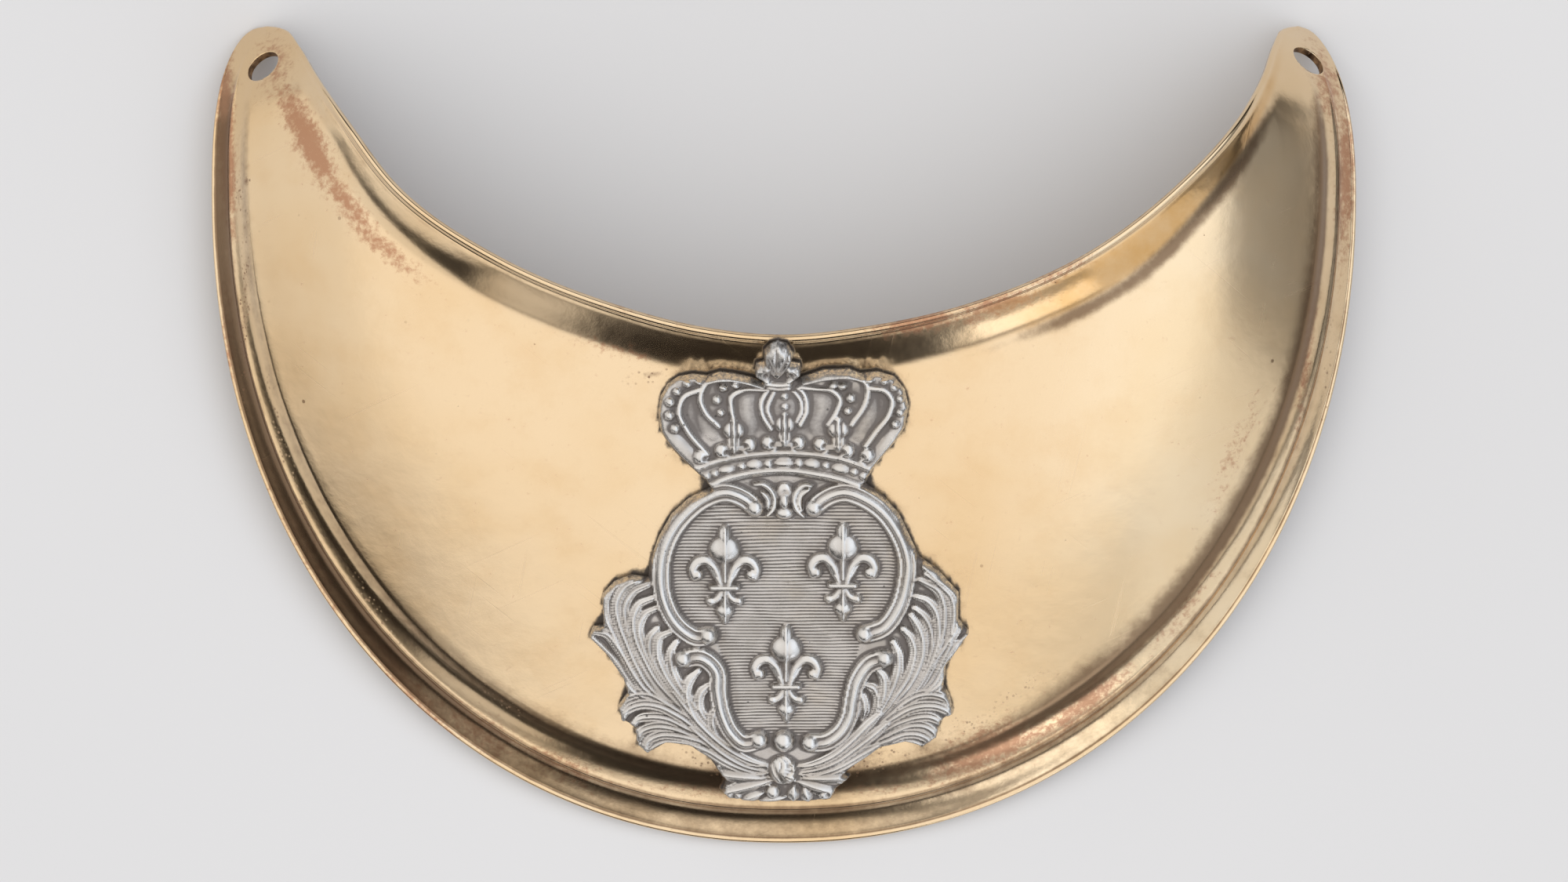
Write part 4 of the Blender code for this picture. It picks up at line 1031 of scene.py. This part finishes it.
def circlet(relief):
    """The crown's jewelled band, with the curls and knops that stand on it."""
    relief.bead(0, 441, 124, 16, 0.26, power=0.5)
    ground = [(-104, 424), (-60, 435), (0, 441), (60, 435), (106, 423)]
    relief.band(ground, 11, 0.22, PLAQUE + 0.2, power=0.25)
    for line in CIRCLET:
        relief.band(line, 4.6, 0.5, PLAQUE + 0.28, power=0.6)
        relief.band([(a, u - 4.5) for a, u in line], 2.0, 0.24, PLAQUE + 0.3)
    for across, up, rx, ry in JEWELS:
        relief.bead(across, up, rx, ry, 0.42, turn=-0.0022 * across, ground=PLAQUE + 0.34)
    i, off, _, _ = relief.follow([(-11, 440), (13, 440)], 8)
    relief.sink(i, 0.10 * np.exp(-(np.abs(np.abs(off) - 3.5) / 1.2) ** 2))
    for across, up, side in CURLS:
        relief.bead(across, up, 10, 10, 0.78, ground=PLAQUE + 0.34, power=0.6)
        hook = [(across + side * 2, up - 2), (across + side * 8, up - 8), (across + side * 4, up - 12)]
        relief.band(hook, 3.4, 0.5, PLAQUE + 0.3)
        relief.pit(across + side * 5.5, up - 1, 2.6, 0.5)
    for across, up in KNOPS:
        relief.petal((across, up - 27), (across, up + 6), 9, 0.72, PLAQUE + 0.3)
        relief.bead(across, up + 3, 15.5, 13, 0.88, ground=PLAQUE + 0.3, power=0.6)
        relief.petal((across, up + 20), (across, up + 4), 6, 0.75, PLAQUE + 0.3)
        for side in (-1, 1):
            flute = [(across + side * 3.6, up + 13), (across + side * 4, up - 6),
                     (across + side * 3, up - 16)]
            relief.groove(flute, 1.3, 0.26)
        relief.band([(across, up + 18), (across, up - 24)], 1.7, 1.02, PLAQUE + 0.3, start=0.4, end=0.5)
    for across, up in ((-61, 459), (1, 464), (66, 460)):
        relief.band([(across - 8, up), (across + 8, up)], 4.5, 0.42, PLAQUE + 0.34, power=0.25)


def finial(relief):
    """The bud on top of the crown, between its two scrolled leaves."""
    relief.petal((-6, 592), (-8, 552), 19, 0.95, PLAQUE, 0.0, 0.5)
    relief.bead(2, 577, 12, 12, 0.92)
    relief.bead(-14, 572, 10, 12, 0.88)
    for line in ([(-8, 588), (-9, 570), (-8, 555)], [(-19, 578), (-14, 568), (-10, 557)],
                 [(6, 580), (0, 568), (-5, 557)], [(-2, 589), (4, 583), (6, 575)]):
        relief.groove(line, 1.4, 0.22)
    for side, middle in ((-1, -25), (1, 13)):
        relief.bead(middle, 559, 10, 10, 0.85)
        relief.band([(middle - side * 6, 549), (middle + side * 2, 551), (middle + side * 8, 559),
                     (middle + side * 2, 567), (middle - side * 5, 564)], 4.2, 0.95)
        relief.pit(middle - side * 3, 557, 3.0, 0.5)
    relief.band([(-22, 546), (-7, 544), (8, 545)], 4.6, 1.0)
    relief.band([(-16, 538), (-6, 536), (6, 538)], 6, 0.7, PLAQUE + 0.2)


def scrolls(relief):
    """The scrolls round the shield, each of three ridges, with the shell above and the bead below."""
    for row in SCROLLS:
        i, off, _, _ = relief.follow(row["line"], 13)
        u = off * row["out"] / 12.0
        main = np.sqrt(np.clip(1 - ((u + 0.06) / 0.60) ** 2, 0, 1)) * 1.08
        outer = np.sqrt(np.clip(1 - ((u - 0.70) / 0.27) ** 2, 0, 1)) * 0.86
        inner = np.sqrt(np.clip(1 - ((u + 0.80) / 0.22) ** 2, 0, 1)) * 0.78
        skirt = 0.62 * (np.abs(u) < 0.98)
        relief.raise_to(i, PLAQUE + np.maximum.reduce([main, outer, inner, skirt]))
        for across, up in (row["line"][0], row["line"][-1]):
            relief.bead(across, up, 12.5, 12.0, 1.5)
    for line in SHELL:
        relief.band(line, 4.4, 0.85, PLAQUE + 0.15, start=0.5, end=0.5)
    relief.bead(1.7, 403, 10.8, 13, 0.75, ground=PLAQUE + 0.1, power=0.35)
    relief.pit(1.7, 403, 5.5, 0.22)
    relief.bead(1.9, 377, 12.5, 8.5, 0.9, ground=PLAQUE + 0.1)
    relief.bead(1.7, 392, 8, 12.5, 1.15, ground=PLAQUE + 0.1, power=0.6)
    relief.bead(1, 82, 14.5, 14.5, 1.5)


def hatching(relief):
    """Engraved lines across the shield, close and slightly uneven."""
    ring = smooth_line(SHIELD + SHIELD[:1], 240)
    i = relief.near(ring.min(axis=0), ring.max(axis=0), 0)
    i = i[inside(np.stack([relief.x[i], relief.y[i]], axis=1), ring)]
    x, y = relief.x[i], relief.y[i]
    wave = 0.7 * np.sin(x / 37.0 + y * 0.03) + 0.25 * np.sin(x / 13.0 + y * 0.11) + 0.8 * np.sin(y / 55.0)
    phase = (y + wave) / HATCH_PITCH - HATCH_SPREAD * (y - HATCH_LEVEL) ** 2 / HATCH_PITCH
    near_line = np.abs(phase - np.floor(phase) - 0.5) * 2
    uneven = 0.8 + 0.2 * np.sin(np.floor(phase) * 12.9898 + x / 60.0)
    relief.z[i] = PLAQUE - HATCH_DEPTH * uneven * ease((near_line - 0.35) / 0.6)


def spray(relief, table, corner):
    """One palm spray: ridges with a fine barb on both sides."""
    for number, rows in enumerate(table):
        line = [(corner[0] + SPRAY_STEP * a, corner[1] - SPRAY_STEP * b) for a, b in rows]
        i, off, along, length = relief.follow(line, SPRAY_REACH)
        share = along / length
        wide = SPRAY_REACH * (0.62 + 0.38 * ease(share / 0.35)) * (1 - 0.35 * ease((share - 0.85) / 0.15))
        u = off / wide
        keep_points = np.abs(u) < 1
        i, u, along, share = i[keep_points], u[keep_points], along[keep_points], share[keep_points]
        rise = 0.42 + 0.30 * ease(share / 0.5) + 0.05 * math.sin(number * 2.4)
        z = rise * (1 - u * u) ** 0.5 + 0.10 * np.cos(3 * math.pi * u) * ease(share / 0.2)
        barb = 0.5 + 0.5 * np.sin(2 * math.pi * (along / 3.4 + 0.55 * np.abs(u)))
        z += 0.07 * barb * np.clip(np.abs(u) * 1.6 - 0.15, 0, 1) * ease(share / 0.25)
        relief.raise_to(i, PLAQUE + z)


def foot_knot(relief):
    """The bow that ties the sprays, with its leaves and berry."""
    for line in ([(-20, 30), (-45, 26), (-74, 14)], [(18, 34), (40, 22), (62, 8)],
                 [(-24, 44), (-50, 44), (-78, 44)], [(20, 44), (46, 42), (76, 34)]):
        i, off, along, length = relief.follow(line, 8.5)
        u = off / (6.0 + 2.4 * along / length)
        ok = np.abs(u) < 1
        lines = 0.07 * np.sin(along[ok] * 1.5 + off[ok] * 0.8)
        relief.raise_to(i[ok], PLAQUE + 0.35 + 0.2 * np.abs(u[ok]) ** 3 + lines * (np.abs(u[ok]) < 0.75))
    for tip, base, half in FOOT_LEAVES:
        relief.petal(tip, base, half, 0.62, PLAQUE + 0.05, 0.14)
    relief.bead(-64, 10, 12, 6, 0.8)
    relief.pit(-64, 9, 4, 0.6)
    relief.bead(56, 12, 11, 7.5, 0.8, turn=0.2)
    relief.pit(57, 11, 4, 0.35)
    relief.bead(-13, 15, 10.5, 10.5, 1.05, power=0.6)
    relief.bead(-1, 44, 17.8, 19.5, 1.2, power=0.45)
    for line in ([(-8, 61), (-2, 54), (-5, 42), (3, 30)], [(-13, 54), (-8, 40), (-1, 29)],
                 [(-3, 62), (6, 56), (7, 50)]):
        relief.groove(line, 1.3, 0.22)
    relief.bead(8.5, 37, 8.5, 12, 1.28, turn=-0.2, power=0.6)
    for low in (30, 35, 40, 45):
        relief.groove([(4, low + 2), (13, low - 2)], 1.1, 0.12)
    relief.band([(12, 54), (14, 46), (12, 40), (15, 32)], 1.8, 1.35, end=0.5)


def carve(relief):
    """All the raised work of the badge, low forms first."""
    hatching(relief)
    spray(relief, LEFT_SPRAY, LEFT_CORNER)
    spray(relief, RIGHT_SPRAY, RIGHT_CORNER)
    cap(relief)
    circlet(relief)
    finial(relief)
    for across, up in FLEURS:
        fleur(relief, across, up)
    scrolls(relief)
    foot_knot(relief)


def box_blur(field, reach):
    """Mean over a square of neighbours, twice."""
    for _ in range(2):
        for axis in (0, 1):
            padded = np.concatenate([np.repeat(np.take(field, [0], axis), reach + 1, axis), field,
                                     np.repeat(np.take(field, [-1], axis), reach, axis)], axis)
            total = np.cumsum(padded, axis)
            n = field.shape[axis]
            field = (np.take(total, np.arange(2 * reach + 1, n + 2 * reach + 1), axis)
                     - np.take(total, np.arange(0, n), axis)) / (2 * reach + 1)
    return field


def badge_foot(middle, facing):
    """A clench foot: a round pin with its end turned over behind the plate."""
    down = SHEET + FOOT_CLEAR + CLENCH_THICK
    neck = CLENCH_THICK - down
    profile = [(0.0, BADGE_GAP + 0.2), (FOOT_RADIUS, BADGE_GAP + 0.2), (FOOT_RADIUS, neck + 0.1),
               (FOOT_RADIUS + 0.12, neck), (CLENCH / 2 - 0.2, neck - 0.02), (CLENCH / 2 - 0.05, neck - 0.12),
               (CLENCH / 2, 0.3 - down), (CLENCH / 2 - 0.12, 0.1 - down), (CLENCH / 2 - 0.4, -down),
               (0.0, -down)]
    turns = 32
    around = [2 * math.pi * k / turns for k in range(turns)]
    points = [(radius * math.cos(a), radius * math.sin(a), z) for radius, z in profile for a in around]
    faces = []
    for low in range(0, (len(profile) - 1) * turns, turns):
        for k in range(turns):
            q = (k + 1) % turns
            faces.append((low + k, low + q, low + turns + q, low + turns + k))
    turn = np.array(Vector((0, 0, 1)).rotation_difference(facing).to_matrix())
    return np.array(points) @ turn.T + np.array(middle), faces


def fill_corners(cells):
    """Fill in cells until no two of them meet at a corner alone."""
    for _ in range(4):
        cells[1:, :-1] |= cells[:-1, :-1] & cells[1:, 1:] & ~cells[1:, :-1] & ~cells[:-1, 1:]
        cells[:-1, :-1] |= cells[1:, :-1] & cells[:-1, 1:] & ~cells[:-1, :-1] & ~cells[1:, 1:]


def hollows_and_ridges(heights, up):
    """How sunk and how proud each point of the relief is beside its neighbours, with painted shade added over
    the crown's cap.
    """
    hollow = np.clip((box_blur(heights, 2) - heights) / 0.10, 0, 1)
    hollow = hollow + 0.35 * np.clip((box_blur(heights, 6) - heights) / 0.30, 0, 1)
    proud = np.clip((heights - box_blur(heights, 4)) / 0.16, 0, 1)
    # painted shade on the crown's cap, darkening it between its arches and pearls
    cap_shade = ease((up - 468) / 14) * (1 - ease((up - 530) / 12))
    return hollow + 0.75 * cap_shade * (1 - proud), proud


def flat_back(top, quads, ring, low, high):
    """The badge's back: its points, which follow those of the top, and the faces of its sides and back."""
    edges = dict.fromkeys((a, b) for quad in quads for a, b in zip(quad, np.roll(quad, -1)))
    open_edges = [(a, b) for a, b in edges if (b, a) not in edges]
    rim = sorted({a for pair in open_edges for a in pair})
    where = {a: k for k, a in enumerate(rim)}
    bottom = top[rim] * [1, 1, 0]
    across, up = np.arange(low[0], high[0], BACK_GRID), np.arange(low[1], high[1], BACK_GRID)
    coarse = np.array([(x, y) for x in across for y in up])
    coarse = coarse[inside(coarse, ring)]
    coarse = coarse[nearest_on(coarse, ring)[1] > BACK_CLEAR]
    plan = [Vector(p) for p in np.concatenate([bottom[:, :2], coarse])]
    loops = [(where[a], where[b]) for a, b in open_edges]
    points, _, back_faces, origins, _, _ = delaunay_2d_cdt(plan, loops, [], 1, 1e-6)
    spots, extra = [], []
    for point, origin in zip(points, origins):
        source = [o for o in origin if o < len(rim)]
        if source:
            spots.append(len(top) + source[0])
        else:
            spots.append(len(top) + len(bottom) + len(extra))
            extra.append((point.x, point.y, 0.0))
    faces = [(b, a, len(top) + where[a], len(top) + where[b]) for a, b in open_edges]
    faces += [tuple(spots[k] for k in reversed(face)) for face in back_faces]
    return np.concatenate([bottom, np.array(extra).reshape(-1, 3)]), faces


def make_badge(sheet, mat):
    ring = np.array(OUTLINE, float)
    low, high = ring.min(axis=0) - GRID_MARGIN, ring.max(axis=0) + GRID_MARGIN
    gx, gy = np.meshgrid(np.arange(low[0], high[0], ACROSS_STEP), np.arange(low[1], high[1], UP_STEP))
    n_y, n_x = gx.shape
    centres = np.stack([(gx[:-1, :-1] + ACROSS_STEP / 2).ravel(),
                        (gy[:-1, :-1] + UP_STEP / 2).ravel()], axis=1)
    cells = inside(centres, ring).reshape(n_y - 1, n_x - 1)
    fill_corners(cells)
    touching = np.zeros((n_y, n_x), int)
    for dy in (0, 1):
        for dx in (0, 1):
            touching[dy:n_y - 1 + dy, dx:n_x - 1 + dx] += cells
    within = touching.ravel() > 0
    flat = np.stack([gx.ravel(), gy.ravel()], axis=1)
    rim = within & (touching.ravel() < 4)
    flat[rim], _ = nearest_on(flat[rim], ring)
    relief = Relief(flat[:, 0].copy(), flat[:, 1].copy())
    carve(relief)
    hollow, proud = hollows_and_ridges(np.where(within, relief.z, PLAQUE).reshape(n_y, n_x), gy)

    from_edge = nearest_on(flat[within], ring)[1]
    over = np.clip(from_edge * unit() / EDGE_ROUND, 0, 1)
    z = EDGE_HEIGHT + (relief.z[within] - EDGE_HEIGHT) * np.sqrt(1 - (1 - over) ** 2)
    top = np.concatenate([flat[within], z[:, None]], axis=1)
    number = -np.ones(len(flat), int)
    number[within] = np.arange(len(top))
    number = number.reshape(n_y, n_x)
    cy, cx = np.nonzero(cells)
    quads = np.stack([number[cy, cx], number[cy, cx + 1], number[cy + 1, cx + 1], number[cy + 1, cx]], axis=1)
    back, back_faces = flat_back(top, quads, ring, low, high)
    faces = [tuple(q) for q in quads] + back_faces
    local = np.concatenate([top, back])
    x, y = badge_place(local[:, 0], local[:, 1])
    facing = sheet.facing(x, y, seat=True)
    seat = np.stack([x, y, sheet.height(x, y, seat=True)], axis=1)
    laid = seat + facing * (local[:, 2] + BADGE_GAP)[:, None]
    for place in foot_places(sheet):
        foot, foot_faces = badge_foot(*place)
        faces += [tuple(k + len(laid) for k in face) for face in foot_faces]
        laid = np.concatenate([laid, foot])

    badge = mesh_piece("gorget_badge", laid * MM, faces, mat)
    for name, values, elsewhere in (("hollow", np.clip(hollow.ravel()[within], 0, 1.5), 0.35),
                                    ("proud", proud.ravel()[within], 0.0),
                                    ("rim", np.exp(-from_edge * unit() / 0.35), 1.0)):
        keep(badge, name, np.concatenate([values, np.full(len(laid) - len(top), elsewhere)]))
    face_outward(badge, weld=True)
    badge.data.update()
    return badge


def cast_silver():
    mat, g = new_material("cast_silver")
    at = g.place()
    hollow, proud, rim = g.attribute("hollow"), g.attribute("proud"), g.attribute("rim")
    cloudy, fine = g.noise(at, 260.0, 4, 0.6), g.noise(at, 2400.0, 4, 0.65)
    colour = g.mix(g.between(cloudy, 0.35, 0.7), (0.50, 0.465, 0.435), (0.40, 0.365, 0.33))
    # painted highlight: lighter silver on the proud points of the relief
    colour = g.mix(g.times(proud, 0.75), colour, (0.74, 0.715, 0.68))
    warm = g.times(g.between(g.noise(at, 110.0, 3), 0.55, 0.75), 0.35)
    colour = g.mix(warm, colour, (0.56, 0.47, 0.36))
    # dark patina in the relief's hollows, together with the painted shade of the crown's cap
    dark = g.between(g.plus(hollow, g.times(g.minus(fine, 0.5), 0.5)), 0.35, 1.25)
    colour = g.mix(g.times(dark, 0.8), colour, (0.10, 0.08, 0.07))
    edge = g.times(rim, g.between(fine, 0.35, 0.65))
    colour = g.mix(g.times(edge, 0.8), colour, (0.05, 0.045, 0.045))
    pits = g.times(g.spots(at, 620.0, 0.07, 0.05), g.between(g.noise(at, 300.0, 2), 0.5, 0.62))
    colour = g.mix(g.times(pits, 0.8), colour, (0.05, 0.045, 0.04))
    rough = g.plus(g.times(dark, 0.3), 0.22)
    rough = g.plus(rough, g.times(cloudy, 0.1))
    metal = g.minus(1.0, g.times(g.most(dark, edge), 0.7))
    normal = g.bump(g.noise(at, 1100.0, 4, 0.65), 0.28, 0.00012)
    normal = g.bump(g.minus(fine, pits), 0.22, 0.00006, normal)
    g.surface(Base_Color=colour, Metallic=metal, Roughness=rough, Normal=normal)
    return mat


# Soft boxes low round the table: azimuth, half width, highest and lowest zenith angle, brightness
SOFTBOXES = [
    (-36.0, 15.0, 50.0, 84.0, 0.92), (-66.0, 8.0, 64.0, 78.0, 1.7), (-120.0, 5.0, 62.0, 73.0, 0.75),
    (5.0, 34.0, 50.0, 82.0, 0.47),
]


def world():
    scene = bpy.context.scene
    scene.world = bpy.data.worlds.new("studio")
    scene.world.use_nodes = True
    g = Graph(scene.world.node_tree)
    way = g.vector("NORMALIZE", g.node("ShaderNodeTexCoord").outputs["Generated"], (0.0, 0.0, 0.0))
    parts = g.node("ShaderNodeSeparateXYZ")
    g.put(parts.inputs[0], way)
    x, y, z = parts.outputs
    zenith = g.times(g.math("ARCCOSINE", z), 180 / math.pi)
    turn = g.times(g.math("ARCTAN2", y, x), 180 / math.pi)
    overhead = g.between(zenith, 50.0, 66.0, 1.0, 0.0)
    from_left = g.minus(180.0, g.math("ABSOLUTE", turn))
    below = g.times(g.math("MINIMUM", from_left, 60.0), g.between(y, -0.12, 0.0, 0.6, 0.0))
    left = g.times(g.between(g.plus(zenith, below), 85.0, 94.0, 0.88, 0.0),
                  g.between(from_left, 55.0, 75.0, 1.0, 0.0))
    upper_left = g.times(g.between(from_left, 34.0, 48.0, 0.8, 0.0), g.between(y, -0.05, 0.05))
    left = g.most(left, upper_left)
    level = g.most(overhead, left)
    for middle, half, low, high, strength in SOFTBOXES:
        off = g.math("ABSOLUTE", g.minus(turn, middle))
        tall = g.times(g.between(zenith, low - 4.0, low), g.between(zenith, high, high + 5.0, 1.0, 0.0))
        level = g.most(level, g.times(g.between(off, half, half + 9.0, strength, 0.0), tall))
    pale = g.mix(g.between(x, 0.0, 0.55), (1.0, 0.985, 0.97), (0.93, 1.0, 1.10))
    colour = g.mix(g.math("MINIMUM", level, 1.0), (0.09, 0.075, 0.065), pale)
    from_right = g.times(g.between(x, 0.0, 0.5), g.times(overhead, 0.22))
    level = g.plus(g.times(level, 0.98), from_right)
    back = g.node("ShaderNodeBackground")
    g.put(back.inputs["Color"], colour)
    g.put(back.inputs["Strength"], g.plus(level, 0.2))
    out = g.node("ShaderNodeOutputWorld")
    g.tree.links.new(back.outputs[0], out.inputs["Surface"])


TABLE_HALF, TABLE_LEVEL = 2, -0.00005      # in metres, as is the camera's place
CAMERA_PLACE = (0.0001, -0.0008, 0.7)
CAMERA_LENS = 125.2


def table_top():
    mat, g = new_material("pale_table")
    at = g.place()
    colour = g.mix(g.noise(at, 6.0, 2), (0.745, 0.73, 0.72), (0.78, 0.765, 0.755))
    g.surface(Base_Color=colour, Roughness=0.85, Normal=g.bump(g.noise(at, 900.0, 2), 0.05, 0.0001))
    mesh = bpy.data.meshes.new("table_top")
    corners = [(x * TABLE_HALF, y * TABLE_HALF, TABLE_LEVEL) for x, y in ((-1, -1), (1, -1), (1, 1), (-1, 1))]
    mesh.from_pydata(corners, [], [(0, 1, 2, 3)])
    mesh.materials.append(mat)
    obj = add_object("table_top", mesh)


def camera():
    data = bpy.data.cameras.new("camera")
    data.sensor_width = 36.0
    data.lens = CAMERA_LENS
    obj = add_object("camera", data)
    obj.location = CAMERA_PLACE
    bpy.context.scene.camera = obj


def settle(piece, shift, node):
    """Put a finished piece into the row's frame in its node's stead."""
    piece.data.transform(Matrix.Translation(shift))
    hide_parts(node)
    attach(piece, "root")


def main():
    sheet = Sheet()
    plate = make_plate(sheet, gilt_brass(), hole_wall())
    badge = make_badge(sheet, cast_silver())
    low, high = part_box("plate")
    flat = np.empty(len(plate.data.vertices) * 3)
    plate.data.vertices.foreach_get("co", flat)
    pts = flat.reshape(-1, 3)
    mid = (pts.min(axis=0) + pts.max(axis=0)) / 2
    shift = Vector(((low.x + high.x) / 2 - mid[0], (low.y + high.y) / 2 - mid[1], low.z - pts[:, 2].min()))
    settle(plate, shift, "plate")
    settle(badge, shift, "badge")
    world()
    table_top()
    camera()
    bpy.context.scene.view_settings.view_transform = "Standard"


main()
